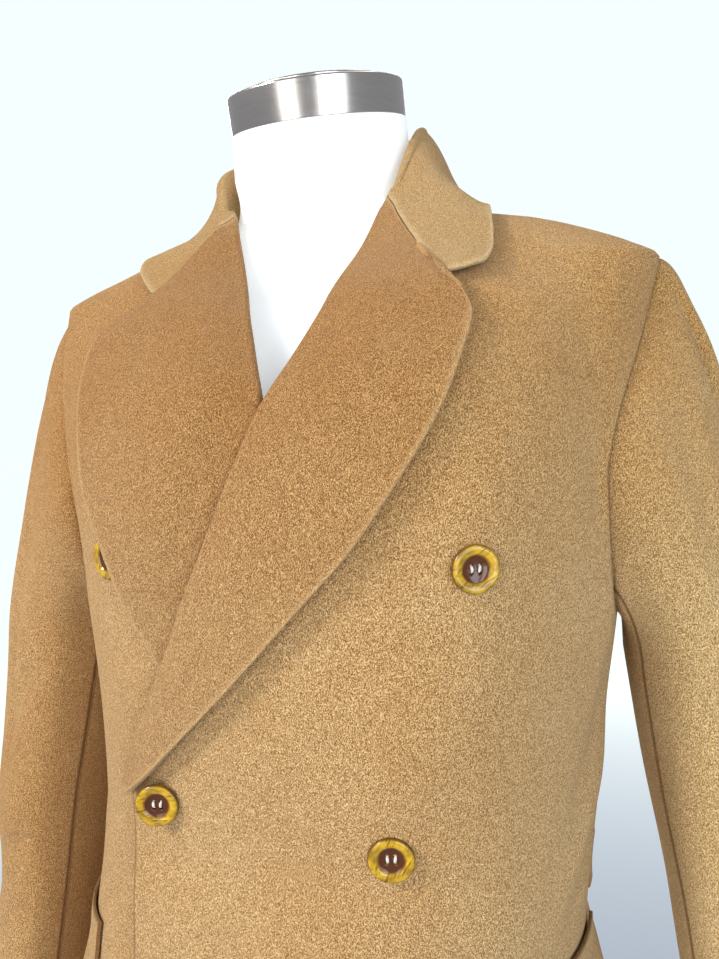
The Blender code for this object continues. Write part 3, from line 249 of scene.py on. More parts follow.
def ring_point(turn, height):
    """A point on the plain ring: turn is 0 at the front centre, 1 at the wearer's left, 2 at the back."""
    turn, height = np.broadcast_arrays(np.asarray(turn, float), np.asarray(height, float))
    across, along = np.sin(turn * math.pi / 2), np.cos(turn * math.pi / 2)
    power = 2 / coat["square"](height)
    depth = np.where(along > 0, coat["front"](height), coat["back"](height))
    x = coat["shift"](height) + coat["half_width"](height) * np.sign(across) * abs(across) ** power
    y = -depth * np.sign(along) * abs(along) ** power
    return np.stack([x, y, height], -1)


def skirt_fold(turn, height):
    """How far the skirt's soft folds stand out of the ring."""
    out = np.zeros(np.broadcast(turn, height).shape)
    for place, width, top, depth in SKIRT_FOLDS:
        away = (np.asarray(turn) - place + 2) % 4 - 2
        out += depth * np.exp(-((away / width) ** 2)) * smooth(height, top, HEM) ** FOLD_GROWTH
    return out


PROBE_TURN = 0.01  # the steps to each side of a point between which directions are measured
PROBE_HEIGHT = 0.003
SEAM_PROBE = 0.004


def draped_point(turn, height):
    """A point of the ring with the skirt's folds."""
    along = ring_point(turn + PROBE_TURN, height) - ring_point(turn - PROBE_TURN, height)
    out = unit(np.stack([along[..., 1], -along[..., 0], np.zeros_like(along[..., 0])], -1))
    return ring_point(turn, height) + out * skirt_fold(turn, height)[..., None]


def face_normal(turn, height):
    """The way straight out of the cloth at a point."""
    around = draped_point(turn + PROBE_TURN, height) - draped_point(turn - PROBE_TURN, height)
    low, high = np.clip(height - PROBE_HEIGHT, HEM, NECK), np.clip(height + PROBE_HEIGHT, HEM, NECK)
    up = draped_point(turn, high) - draped_point(turn, low)
    return unit(np.cross(around, up))


def face(turn, height, lift=0.0):
    """A point of the coat's outer face, moved out along its normal by lift."""
    turn, height = np.broadcast_arrays(np.asarray(turn, float), np.asarray(height, float))
    return draped_point(turn, height) + face_normal(turn, height) * np.asarray(lift)[..., None]


def turn_at(x, height):
    """The turn at which the ring passes over x in front."""
    share = (np.asarray(x) - coat["shift"](height)) / coat["half_width"](height)
    share = np.clip(share, -1, 1)
    sine = np.sign(share) * abs(share) ** (coat["square"](height) / 2)
    return np.arcsin(np.clip(sine, -1, 1)) * 2 / math.pi


# The drop grows to the wearer's right and upward, most of it is gone at the armhole, and all at the neck.
DROP_RIGHT, DROP_ARM, DROP_ARM_SHARE = (0.02, 0.12), (0.14, 0.21), 0.8
DROP_UP, DROP_END = (1.24, 1.40), (1.46, 1.50)


def settled(points):
    """The points let down at the wearer's right shoulder, with the form that is under it."""
    right, height = -points[..., 0], points[..., 2]
    across = smooth(right, *DROP_RIGHT) * (1 - DROP_ARM_SHARE * smooth(right, *DROP_ARM))
    share = across * smooth(height, *DROP_UP) * (1 - smooth(height, *DROP_END))
    return points - (DROP * share)[..., None] * np.array([0, 0, 1])


def seam_step(turn, height):
    """Half a seam's space, as a part of a turn."""
    step = ring_point(turn + SEAM_PROBE, height) - ring_point(turn - SEAM_PROBE, height)
    return SEAM / 2 / (np.linalg.norm(step, axis=-1) / (2 * SEAM_PROBE))


def side_turn(height, side, back=False):
    """Where a panel ends at the side: the side seam, the armhole's edge or the shoulder seam."""
    if height <= UNDERARM or height >= SHOULDER_TIP:
        return float(side)
    if back:
        turn = 2 - turn_at(coat["shift"](height) + armhole_back(height), height)
    else:
        turn = turn_at(coat["shift"](height) + armhole_front(height), height)
    return side * float(turn)


NECKLINE_PAST = 0.006  # how far above the neck the neckline would reach the shoulder seam


def front_turn(height, side):
    """Where a front ends at the middle: its free edge, its roll line or its neckline."""
    if height <= GORGE:
        return float(turn_at(middle_x[side](height), height))
    top = float(turn_at(middle_x[side](GORGE), GORGE))
    share = float(smooth(height, GORGE, NECK + NECKLINE_PAST))
    return top * (1 - share) + side * share


UNDER_LAPEL = (0.95, 1.05)  # heights between which the under-lapel starts
WRAP_END = (1.385, 1.455)  # heights between which the over-front comes down onto the form


def wrap_lift(x, height):
    """How far the over-front stands off where the under-front and its lapel lie below it."""
    lift = WRAP_LIFT + LAPEL_LIFT * smooth(height, *UNDER_LAPEL)
    return lift * (1 - smooth(x, WRAP_FULL, WRAP_START)) * (1 - smooth(height, *WRAP_END))


def crease(across, up, run, rise, width, depth, wave, fades):
    """How far one crease moves points that lie so far across and up from its start; it runs and rises."""
    length = math.hypot(run, rise)
    share = (across * run + up * rise) / length**2
    aside = (across * rise - up * run) / length
    reach, often, start = wave
    aside = aside + reach * np.sin(share * often + start)
    fade = smooth(share, *fades[:2]) * (1 - smooth(share, *fades[2:]))
    return CREASE_GAIN * depth * np.exp(-((aside / width) ** 2)) * fade


def creased(turn, height):
    """How far the listed creases of the body move the cloth out or in."""
    out = np.zeros(np.broadcast(turn, height).shape)
    reach, often, differ = BODY_WAVE
    for turn_a, height_a, turn_b, height_b, width, depth in BODY_CREASES:
        across = ((np.asarray(turn) - turn_a + 2) % 4 - 2) * CREASE_METRES
        run, wave = (turn_b - turn_a) * CREASE_METRES, (reach, often, turn_a * differ)
        out += crease(across, height - height_a, run, height_b - height_a, width, depth, wave, BODY_FADES)
    return out


SKIRT_STEPS, ARM_STEPS, SHOULDER_STEPS, NECK_STEPS = 120, 55, 15, 7
FRONT_COLUMNS = 64
BACK_COLUMNS = 48
CALM_ACROSS, CALM_UP = 0.05, 0.02  # the parts of a panel next to its edges where creases die away
ARM_ROWS = UNDERARM + (SHOULDER_TIP - UNDERARM) * (1 - np.cos(np.linspace(0, math.pi, ARM_STEPS))) / 2
PANEL_ROWS = np.concatenate(
    [
        np.linspace(HEM, UNDERARM, SKIRT_STEPS)[:-1],
        ARM_ROWS[:-1],
        np.linspace(SHOULDER_TIP, GORGE, SHOULDER_STEPS)[:-1],
        np.linspace(GORGE, NECK, NECK_STEPS),
    ]
)


def panel_grid(side, start, end, columns):
    """Turns and heights of a panel between the turns of its two upright edges."""
    start = start + side * seam_step(start, PANEL_ROWS)
    end = end - side * seam_step(end, PANEL_ROWS)
    turns = start[:, None] + (end - start)[:, None] * np.linspace(0, 1, columns)
    return turns[:, ::side], np.broadcast_to(PANEL_ROWS[:, None], turns.shape)


def edge_calm(rows, columns):
    """1 inside a panel and 0 at its edges, so that neighbours stay joined where creases meet a seam."""
    u = np.linspace(0, 1, columns)
    across = smooth(np.minimum(u, 1 - u), 0, CALM_ACROSS)
    upward = smooth(1 - np.linspace(0, 1, rows), 0, CALM_UP)
    return upward[:, None] * across[None, :]


class Socket:
    """A shader value that adds its Math nodes as it is worked with."""

    def __init__(self, shader, link):
        self.shader = shader
        self.link = link

    def math(self, operation, *values):
        return self.shader.node("ShaderNodeMath", {"operation": operation}, dict(enumerate(values)))

    def __add__(self, other):
        return self.math("ADD", self, other)

    def __radd__(self, other):
        return self.math("ADD", other, self)

    def __sub__(self, other):
        return self.math("SUBTRACT", self, other)

    def __rsub__(self, other):
        return self.math("SUBTRACT", other, self)

    def __mul__(self, other):
        return self.math("MULTIPLY", self, other)

    def __rmul__(self, other):
        return self.math("MULTIPLY", other, self)


class Shader:
    """A material being made: one method adds any node, and one more joins colours."""

    def __init__(self, name, **principled):
        self.material = bpy.data.materials.new(name)
        self.material.use_nodes = True
        self.tree = self.material.node_tree
        self.surface = self.tree.nodes["Principled BSDF"]
        for socket, value in principled.items():
            self.surface.inputs[socket.replace("_", " ")].default_value = value

    def node(self, kind, settings=None, values=None, output=0):
        made = self.tree.nodes.new(kind)
        for setting, value in (settings or {}).items():
            setattr(made, setting, value)
        for socket, value in (values or {}).items():
            if isinstance(value, Socket):
                self.tree.links.new(value.link, made.inputs[socket])
            else:
                made.inputs[socket].default_value = value
        return Socket(self, made.outputs[output])

    def mixed(self, factor, first, second, blend="MIX"):
        def colour(value):
            return value if isinstance(value, Socket) else (*value, 1)

        settings = {"data_type": "RGBA", "blend_type": blend, "clamp_factor": True}
        values = {0: factor, 6: colour(first), 7: colour(second)}
        return self.node("ShaderNodeMix", settings, values, 2)

    def place(self, scale=(1, 1, 1), turn=(0, 0, 0)):
        """Object coordinates in metres, stretched and turned as the pattern needs."""
        where = self.node("ShaderNodeTexCoord", output=3)
        return self.node("ShaderNodeMapping", None, {"Vector": where, "Scale": scale, "Rotation": turn})

    def along(self, axis):
        """How far along x, y or z, in metres."""
        where = self.node("ShaderNodeTexCoord", output=3)
        return self.node("ShaderNodeSeparateXYZ", None, {"Vector": where}, axis)

    def noise(self, where, scale, detail=2.0, rough=0.5, warp=0.0):
        values = {"Vector": where, "Scale": scale, "Detail": detail, "Roughness": rough, "Distortion": warp}
        return self.node("ShaderNodeTexNoise", None, values)

    def bumped(self, height, strength, distance):
        values = {"Strength": strength, "Distance": distance, "Height": height}
        return self.node("ShaderNodeBump", None, values)

    def ranged(self, value, low, high, out_low=0.0, out_high=1.0):
        """The value moved from one range to another, clipped at both ends."""
        values = {0: value, 1: low, 2: high, 3: out_low, 4: out_high}
        return self.node("ShaderNodeMapRange", {"clamp": True}, values)

    def finish(self, **links):
        for socket, value in links.items():
            self.tree.links.new(value.link, self.surface.inputs[socket.replace("_", " ")])
        return self.material


CAMEL = (0.535, 0.322, 0.124)
CAMEL_ROOT = (0.225, 0.092, 0.022)  # between the fibres, where the nap parts
CAMEL_TIP = (0.930, 0.665, 0.350)  # the ends of the fibres
CAMEL_PATCHY_AND_SHADED = (0.80, 0.64, 0.44)  # multiplies the camel in random patches, and as painted shade higher up and on the wearer's right side
CAMEL_PAINTED_LIGHT = (1.16, 1.32, 1.42)  # painted light: multiplies it to make the cloth palest on the wearer's left side
NAP_SHORT, NAP_CLUMPS = 0.74, 0.26  # how much of the nap is single fibres and how much clumps of them
NAP_CONTRAST = 0.85
FIBRE_SCALE, CLUMP_SCALE = 2300.0, 1450.0
NAP_DEPTH = 0.0016


def wool(name, painted_light_tint=(1.0, 1.0, 1.0), contrast=1.0, lean=0.0, rim=0.0):
    """Brushed camel nap: short fibres lying down the cloth, with paler tips and brown roots, in random darker
    patches. Painted shade darkens it higher up and on the wearer's right side, and painted light makes the
    wearer's left side paler; the painted light tint gives lit and shaded copies. A rim paints a pale
    highlight along the edge, as on a turned lapel; without one a painted shadow darkens the edge, as at a
    seam."""
    shader = Shader(name, Sheen_Weight=0.35, Sheen_Roughness=0.45, Specular_IOR_Level=0.12)
    shader.surface.inputs["Sheen Tint"].default_value = (1.0, 0.86, 0.62, 1)
    fibres = shader.place((1.0, 1.0, 0.55), (0, lean, 0))
    short = shader.noise(fibres, FIBRE_SCALE, 0.0, 0.5, 0.3)
    clumps = shader.noise(fibres, CLUMP_SCALE, 0.0, 0.5, 0.4)
    patches = shader.noise(shader.place(), 30.0, 2.0, 0.5, 0.4)
    brushed = shader.noise(shader.place((1, 1, 0.6)), 8.0, 2.0, 0.5, 0.3)
    nap = short * NAP_SHORT + clumps * NAP_CLUMPS
    root = shader.ranged(nap, 0.50, 0.36) * (NAP_CONTRAST * contrast)
    tip = shader.ranged(nap, 0.50, 0.64) * (NAP_CONTRAST * contrast)

    def with_painted_light(colour):
        return tuple(c * t for c, t in zip(colour, painted_light_tint))

    colour = shader.mixed(root, with_painted_light(CAMEL), with_painted_light(CAMEL_ROOT))
    colour = shader.mixed(tip, colour, with_painted_light(CAMEL_TIP))
    # Random darker patches of the nap, then painted shade on top of them.
    tone_and_painted_shade = shader.ranged(patches, 0.36, 0.66) * 0.12 + shader.ranged(brushed, 0.36, 0.64) * 0.30
    # Painted shade: darker higher up, over the upper chest, shoulders, lapels and collar.
    tone_and_painted_shade = tone_and_painted_shade + shader.ranged(shader.along(2), 1.22, 1.38) * 0.75
    # Painted shade: darker on the wearer's right side.
    tone_and_painted_shade = tone_and_painted_shade + shader.ranged(shader.along(0), -0.08, -0.26) * 0.40
    colour = shader.mixed(tone_and_painted_shade, colour, CAMEL_PATCHY_AND_SHADED, "MULTIPLY")
    # Painted light: paler on the wearer's left side.
    painted_side_light = shader.ranged(shader.along(0), 0.08, 0.26) * 0.85
    colour = shader.mixed(painted_side_light, colour, CAMEL_PAINTED_LIGHT, "MULTIPLY")
    border = shader.node("ShaderNodeAttribute", {"attribute_name": "from_edge"}, output=2)
    if rim:
        # Painted highlight: a pale band along the edge, mixed towards the fibre tips.
        pale = shader.ranged(border + (clumps - 0.5) * 0.004, 0.0045, 0.0010) * rim
        colour = shader.mixed(pale, colour, with_painted_light(CAMEL_TIP))
    else:
        # Painted shadow: a dark band along the edge, mixed towards the root colour, as in a seam's groove.
        painted_seam_shadow = shader.ranged(border + (clumps - 0.5) * 0.002, 0.0022, 0.0004) * 0.75
        colour = shader.mixed(painted_seam_shadow, colour, with_painted_light(CAMEL_ROOT))
    rough = shader.ranged(nap, 0.3, 0.7, 0.98, 0.82)
    normal = shader.bumped(nap + patches * 0.35, 1.0, NAP_DEPTH)
    return shader.finish(Base_Color=colour, Roughness=rough, Normal=normal)


def satin(name):
    """The lining: brown satin with a fine twill."""
    shader = Shader(name, Sheen_Weight=0.1, Specular_IOR_Level=0.5)
    lines = shader.node(
        "ShaderNodeTexWave",
        {"bands_direction": "DIAGONAL"},
        {"Vector": shader.place(), "Scale": 520.0, "Distortion": 0.4, "Detail": 1.0},
    )
    blotch = shader.noise(shader.place(), 40.0)
    colour = shader.mixed(shader.ranged(blotch, 0.3, 0.7), (0.20, 0.105, 0.045), (0.27, 0.15, 0.07))
    normal = shader.bumped(lines, 0.2, 0.0002)
    return shader.finish(Base_Color=colour, Roughness=shader.ranged(lines, 0, 1, 0.36, 0.46), Normal=normal)


camel_cloth = wool("camel_cloth", lean=0.12)
lining_satin = satin("lining_satin")


def add_mesh(name, points, faces, materials, inside=0, smooth_angle=50):
    """A mesh at the origin. Its last faces, as many as inside says, take the second material."""
    mesh = bpy.data.meshes.new(name)
    mesh.from_pydata(np.asarray(points, float).tolist(), [], faces)
    for finish in materials:
        mesh.materials.append(finish)
    if inside:
        slots = np.zeros(len(faces), np.int32)
        slots[-inside:] = 1
        mesh.polygons.foreach_set("material_index", slots)
    mesh.update()
    mesh.shade_smooth()
    mesh.set_sharp_from_angle(angle=math.radians(smooth_angle))
    made = bpy.data.objects.new(name, mesh)
    bpy.context.scene.collection.objects.link(made)
    return made


EDGE_ROUND = 0.0011  # how far the rounding of a turned edge reaches into the cloth
EDGE_ROUND_SHARE = 0.45  # the most of a grid's outermost step that the rounding may take
# Points round such an edge: degrees from its middle, and how far out, as a share of the rounding. The
# hollow in the middle is the seam that joins the cloth to its facing.
EDGE_ARC = ((58, 0.62), (26, 0.98), (7, 0.92), (0, 0.35), (-7, 0.92), (-26, 0.98), (-58, 0.62))


def drawn_in(grid, row, beside):
    """The way from one row of a grid out to its border, and how far the border's rounding may reach."""
    way = grid[row] - grid[beside]
    length = np.linalg.norm(way, axis=-1, keepdims=True)
    return way / np.maximum(length, 1e-9) * np.minimum(EDGE_ROUND, EDGE_ROUND_SHARE * length)


def cloth_wall(name, outer, inner, finish, lining=None):
    """A closed wall of cloth between two grids of points, rows first, with softly rounded edges."""
    rows, columns = outer.shape[:2]
    index = np.arange(rows * columns).reshape(rows, columns)
    below = rows * columns
    pull = np.zeros(outer.shape)
    pull[0] += drawn_in(outer, 0, 1)
    pull[-1] += drawn_in(outer, -1, -2)
    across = outer.swapaxes(0, 1)
    pull[:, 0] += drawn_in(across, 0, 1)
    pull[:, -1] += drawn_in(across, -1, -2)
    whole = outer
    outer, inner, pull = (outer - pull).reshape(-1, 3), (inner - pull).reshape(-1, 3), pull.reshape(-1, 3)
    front = np.stack([index[:-1, :-1], index[:-1, 1:], index[1:, 1:], index[1:, :-1]], -1).reshape(-1, 4)
    back = front[:, ::-1] + below
    rim = np.concatenate([index[0, :], index[1:, -1], index[-1, -2::-1], index[-2:0:-1, 0]])
    levels, arcs = [rim], []
    middle, half = (outer[rim] + inner[rim]) / 2, (outer[rim] - inner[rim]) / 2
    for arc, (degrees, reach) in enumerate(EDGE_ARC):
        arcs.append(middle + half * math.sin(math.radians(degrees)) + pull[rim] * reach)
        levels.append(2 * below + arc * len(rim) + np.arange(len(rim)))
    levels.append(rim + below)
    border = [
        np.stack([np.roll(high, -1), high, low, np.roll(low, -1)], -1)
        for high, low in zip(levels, levels[1:])
    ]
    faces = np.concatenate([front, *border, back]).tolist()
    points = settled(np.concatenate([outer, inner, *arcs]))
    materials = [finish, lining] if lining else [finish]
    made = add_mesh(name, points, faces, materials, len(back) if lining else 0)
    along_rows = np.cumsum(np.linalg.norm(np.diff(whole, axis=0, prepend=whole[:1]), axis=-1), axis=0)
    along_columns = np.cumsum(np.linalg.norm(np.diff(whole, axis=1, prepend=whole[:, :1]), axis=-1), axis=1)
    nearest = np.minimum(
        np.minimum(along_rows, along_rows[-1:] - along_rows),
        np.minimum(along_columns, along_columns[:, -1:] - along_columns),
    ).reshape(-1)
    edge = made.data.attributes.new("from_edge", "FLOAT", "POINT")
    edge.data.foreach_set("value", np.concatenate([nearest, nearest, np.zeros(len(points) - 2 * below)]))
    return made


def declare(piece, node, body="root"):
    """The piece rides on the coat's one body, and shows in place of its plain solid."""
    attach(piece, body)
    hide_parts(node)


def draped_wall(node, turn, height, lift, lining=None):
    """Camel cloth on the coat's face, raised by lift, in place of the solid that it is named after."""
    outer, inner = face(turn, height, lift), face(turn, height, lift - WALL)
    piece = cloth_wall(node + "_cloth", outer, inner, camel_cloth, lining)
    declare(piece, node)
    return piece


for side, side_name in SIDE_NAMES.items():
    start = np.array([front_turn(h, side) for h in PANEL_ROWS])
    end = np.array([side_turn(h, side) for h in PANEL_ROWS])
    turns, level = panel_grid(side, start, end, FRONT_COLUMNS)
    lift = wrap_lift(ring_point(turns, level)[..., 0], level) if side > 0 else np.zeros(turns.shape)
    lift = lift + creased(turns, level) * edge_calm(*turns.shape)
    front = draped_wall("front_" + side_name, turns, level, lift, lining_satin)

    start = np.array([side_turn(h, side, back=True) for h in PANEL_ROWS])
    end = np.full(len(PANEL_ROWS), 2.0 * side)
    turns, level = panel_grid(side, start, end, BACK_COLUMNS)
    lift = creased(turns, level) * edge_calm(*turns.shape)
    back = draped_wall("back_" + side_name, turns, level, lift, lining_satin)

# ========================================
# Sleeves: a top sleeve and an under-sleeve on each side, of the same cloth, eased into the armhole with a
# soft head and hanging open at the cuff. Long creases run down from the sleeve head and across the elbow.
# ========================================

SLEEVE_COLUMNS = ("height", "inner_x", "outer_x", "centre_y", "half_depth")
SLEEVE_RINGS = (
    (1.150, 0.1970, 0.2960, 0.030, 0.081),
    (1.080, 0.2105, 0.3040, 0.026, 0.078),
    (1.010, 0.2240, 0.3080, 0.018, 0.075),
    (0.950, 0.2320, 0.3090, 0.009, 0.072),
    (0.880, 0.2410, 0.3120, -0.003, 0.069),
    (0.800, 0.2500, 0.3190, -0.018, 0.066),
)
CUFF = 0.800
BICEPS = 1.150
SLEEVE_SQUARE = 2.3
SLEEVE_SEAMS = (142, 105)  # the front and back seams, in degrees each way from the outer line
# Broad hollows and swells: angle, height, depth, and their reach in degrees and in height.
SLEEVE_FOLDS = (
    (-35, 1.135, -0.006, 30, 0.10),
    (25, 1.020, -0.005, 26, 0.12),
    (-80, 0.955, -0.005, 30, 0.05),
    (-70, 1.010, 0.004, 30, 0.04),
)
SLEEVE_METRES = 0.00125  # about the length of one degree round the sleeve
SLEEVE_WAVE = (0.003, 4.0)
SLEEVE_FADES = (-0.10, 0.25, 0.62, 1.12)
# Creases of the sleeves, as on the body, but from one angle and height to another. Angle 0 is the outer
# line, -90 the front.
SLEEVE_CREASES = {
    1: (
        (-26, 1.395, -34, 1.180, 0.0050, -0.0022),
        (-14, 1.400, -17, 1.200, 0.0060, 0.0022),
        (-4, 1.395, -6, 1.190, 0.0050, -0.0020),
        (12, 1.400, 8, 1.230, 0.0060, 0.0018),
        (34, 1.380, 38, 1.200, 0.0080, -0.0022),
        (-60, 1.340, -78, 1.180, 0.0100, -0.0018),
        (-48, 1.200, -20, 1.060, 0.0140, -0.0024),
        (-100, 1.150, -62, 1.085, 0.0090, -0.0024),
        (-104, 1.105, -58, 1.050, 0.0080, 0.0018),
        (-98, 1.010, -50, 0.985, 0.0085, -0.0026),
        (-106, 0.975, -48, 0.945, 0.0080, 0.0020),
        (-92, 0.925, -44, 0.915, 0.0085, -0.0022),
        (70, 1.150, 36, 1.060, 0.0110, -0.0020),
        (98, 1.100, 60, 1.020, 0.0100, 0.0018),
        (110, 1.000, 62, 0.960, 0.0095, -0.0024),
        (-20, 0.960, -10, 0.840, 0.0160, -0.0020),
    ),
    -1: (
        (-30, 1.392, -38, 1.190, 0.0070, -0.0020),
        (-12, 1.398, -15, 1.210, 0.0065, 0.0018),
        (6, 1.396, 2, 1.200, 0.0060, -0.0018),
        (36, 1.380, 40, 1.210, 0.0085, -0.0022),
        (-62, 1.330, -80, 1.170, 0.0110, -0.0020),
        (-74, 1.260, -58, 0.980, 0.0085, -0.0028),
        (-55, 1.230, -40, 0.970, 0.0110, 0.0030),
        (-30, 1.150, -24, 0.960, 0.0120, -0.0020),
        (-100, 1.140, -64, 1.075, 0.0090, -0.0022),
        (-102, 1.000, -54, 0.975, 0.0085, -0.0024),
        (-104, 0.960, -50, 0.935, 0.0085, 0.0018),
        (72, 1.140, 40, 1.050, 0.0110, -0.0020),
        (104, 1.060, 60, 1.000, 0.0100, 0.0018),
        (108, 0.980, 64, 0.930, 0.0095, -0.0022),
        (-14, 0.940, -6, 0.830, 0.0150, -0.0018),
    ),
}
ARMHOLE_TURN = 0.004  # how deep the sleeve's head is turned in at the armhole seam
HEAD_WAY = (0.080, 0, -0.030)  # how the cloth leaves the armhole at the top, and under the arm
UNDERARM_WAY = (0.014, 0, -0.020)
HEAD_FULLNESS = (0, 0.030, 0)  # how much more it leaves to the front and back
HANG_WAY = (0.10, -0.04, -1.0)  # how it comes down to the upper arm, as a share of the way there
HANG_PULL = 1.15
HEAD_GAP = SEAM * 1.7
SLEEVE_CALM = (0.0, 0.06, 0.97, 1.0)  # the parts of a sleeve over which creases come up and die away
SHIFT_UP, SHIFT_OUT = (0.98, 1.16), (0.225, 0.265)  # heights and places over which it moves with the coat
SEAM_PULL = SEAM * 0.9
CAP_STEPS = np.linspace(0, 1, 46)
SLEEVE_HEIGHTS = np.linspace(BICEPS, CUFF, 60)[1:]
sleeve_rings = table(SLEEVE_COLUMNS, sorted(SLEEVE_RINGS))
sleeve = {name: curve(sleeve_rings["height"], sleeve_rings[name]) for name in SLEEVE_COLUMNS[1:]}


def grid_normals(grid):
    """Normals of a grid of points, from the directions to each point's neighbours."""

    def tangents(axis):
        ahead = unit(np.diff(grid, axis=axis))
        first, last = np.take(ahead, [0], axis=axis), np.take(ahead, [-1], axis=axis)
        return np.concatenate([first, ahead], axis) + np.concatenate([ahead, last], axis)

    return unit(np.cross(unit(tangents(1)), unit(tangents(0))))


def armhole_loop(rows):
    """The wearer's left armhole, measured from the coat's middle: down the front and up the back."""
    places = [(side_turn(h, 1), h) for h in reversed(rows)]
    places += [(side_turn(h, 1, back=True), h) for h in rows[1:-1]]
    loop = np.array([face(*place) for place in places])
    loop[:, 0] -= coat["shift"](loop[:, 2])
    return loop, np.array([face_normal(*place) for place in places])


def sleeve_angles(loop):
    """Each armhole point's angle round the sleeve: 0 at the top, -180 underarm, negative in front."""
    rise = np.clip((loop[:, 2] - UNDERARM) / (SHOULDER_TIP - UNDERARM), 0, 1)
    angle = np.degrees(np.arccos(2 * rise - 1))
    under = int(np.argmax(angle))
    return np.where(np.arange(len(loop)) <= under, -angle, angle)


def sleeve_section(angle, height):
    """A level ring of the hanging sleeve, at the given angles in degrees."""
    inner, outer = sleeve["inner_x"](height), sleeve["outer_x"](height)
    cosine, sine = np.cos(np.radians(angle)), np.sin(np.radians(angle))
    power = 2 / SLEEVE_SQUARE
    x = (inner + outer) / 2 + (outer - inner) / 2 * np.sign(cosine) * abs(cosine) ** power
    y = sleeve["centre_y"](height) + sleeve["half_depth"](height) * np.sign(sine) * abs(sine) ** power
    level = np.stack([x, y, np.full_like(x, height)], -1)
    middle = np.array([(inner + outer) / 2, sleeve["centre_y"](height), height])
    out = unit(level - middle)
    for place, top, depth, width, tall in SLEEVE_FOLDS:
        share = np.exp(-(((angle - place) / width) ** 2) - ((height - top) / tall) ** 2)
        level = level + out * (depth * share)[..., None]
    return level


def sleeve_grid(loop, panel_normal):
    """The left sleeve's outer face: rows from the turned-in seam at the armhole to the cuff."""
    angle = sleeve_angles(loop)
    rise = ((1 + np.cos(np.radians(angle))) / 2)[:, None]
    level = sleeve_section(angle, BICEPS)
    fullness = np.sin(np.radians(angle))[:, None] * np.array(HEAD_FULLNESS)
    start = rise * np.array(HEAD_WAY) + (1 - rise) * np.array(UNDERARM_WAY) + fullness
    end = np.linalg.norm(level - loop, axis=1, keepdims=True) * HANG_PULL * np.array(HANG_WAY)
    inward = loop.mean(axis=0) - loop
    inward[:, 0] = 0
    first = loop + unit(unit(inward) + unit(start)) * HEAD_GAP
    rows = [first - panel_normal * share * ARMHOLE_TURN for share in (1.0, 0.5)]
    for s in CAP_STEPS:
        blend = hermite(s)
        rows.append(first * blend[0] + start * blend[1] + level * blend[2] + end * blend[3])
    rows += [sleeve_section(angle, height) for height in SLEEVE_HEIGHTS]
    return np.array(rows), angle


def sleeve_creased(side, angle, height):
    """How far a sleeve's creases move its cloth out or in."""
    out = np.zeros(height.shape)
    for angle_a, height_a, angle_b, height_b, width, depth in SLEEVE_CREASES[side]:
        across, run = (angle - angle_a) * SLEEVE_METRES, (angle_b - angle_a) * SLEEVE_METRES
        rise, wave = height_b - height_a, (*SLEEVE_WAVE, angle_a)
        out += crease(across, height - height_a, run, rise, width, depth, wave, SLEEVE_FADES)
    return out


def hung(points):
    """The points of a sleeve moved from the coat's middle line to where the coat hangs."""
    share = smooth(points[..., 2], *SHIFT_UP) * (1 - smooth(-points[..., 0], *SHIFT_OUT))
    moved = points.copy()
    moved[..., 0] += coat["shift"](points[..., 2]) * share
    return moved


def seamed(grid):
    """The grid with its first and last columns drawn in from the seams."""
    grid = grid.copy()
    grid[:, 0] += unit(grid[:, 1] - grid[:, 0]) * SEAM_PULL
    grid[:, -1] += unit(grid[:, -2] - grid[:, -1]) * SEAM_PULL
    return grid


sleeve_outer, sleeve_angle = sleeve_grid(*armhole_loop(ARM_ROWS))
wrapped = np.concatenate([sleeve_outer[:, -1:], sleeve_outer, sleeve_outer[:, :1]], axis=1)
sleeve_normal = grid_normals(wrapped)[:, 1:-1]
away = sleeve_outer - sleeve_outer.mean(axis=1, keepdims=True)
sleeve_normal = sleeve_normal * np.sign((sleeve_normal[-3:] * away[-3:]).sum())
under_column = int(np.argmin(sleeve_angle))
front_seam = int(np.argmin(abs(sleeve_angle[: under_column + 1] + SLEEVE_SEAMS[0])))
back_seam = under_column + 1 + int(np.argmin(abs(sleeve_angle[under_column + 1 :] - SLEEVE_SEAMS[1])))
SLEEVE_PIECES = {
    "top": [*range(front_seam, -1, -1), *range(len(sleeve_angle) - 1, back_seam - 1, -1)],
    "under": list(range(front_seam, back_seam + 1)),
}
sleeve_cloth = wool("sleeve_cloth", lean=-0.10)

for side, side_name in SIDE_NAMES.items():
    row = np.arange(len(sleeve_outer)) / (len(sleeve_outer) - 1)
    calm = smooth(row, *SLEEVE_CALM[:2]) * (1 - smooth(row, *SLEEVE_CALM[2:]))
    depth = sleeve_creased(side, sleeve_angle[None, :], sleeve_outer[..., 2]) * calm[:, None]
    eased = sleeve_outer + sleeve_normal * depth[..., None]
    inside = eased - sleeve_normal * WALL
    for part, columns in SLEEVE_PIECES.items():
        outer, inner = seamed(eased[:, columns]), seamed(inside[:, columns])
        if (part == "top") == (side > 0):
            outer, inner = outer[::-1], inner[::-1]
        if side < 0:
            flip = np.array([-1, 1, 1])
            outer, inner = outer * flip, inner * flip
        node = f"{part}_sleeve_{side_name}"
        arm = cloth_wall(node + "_cloth", hung(outer), hung(inner), sleeve_cloth, lining_satin)
        declare(arm, node)
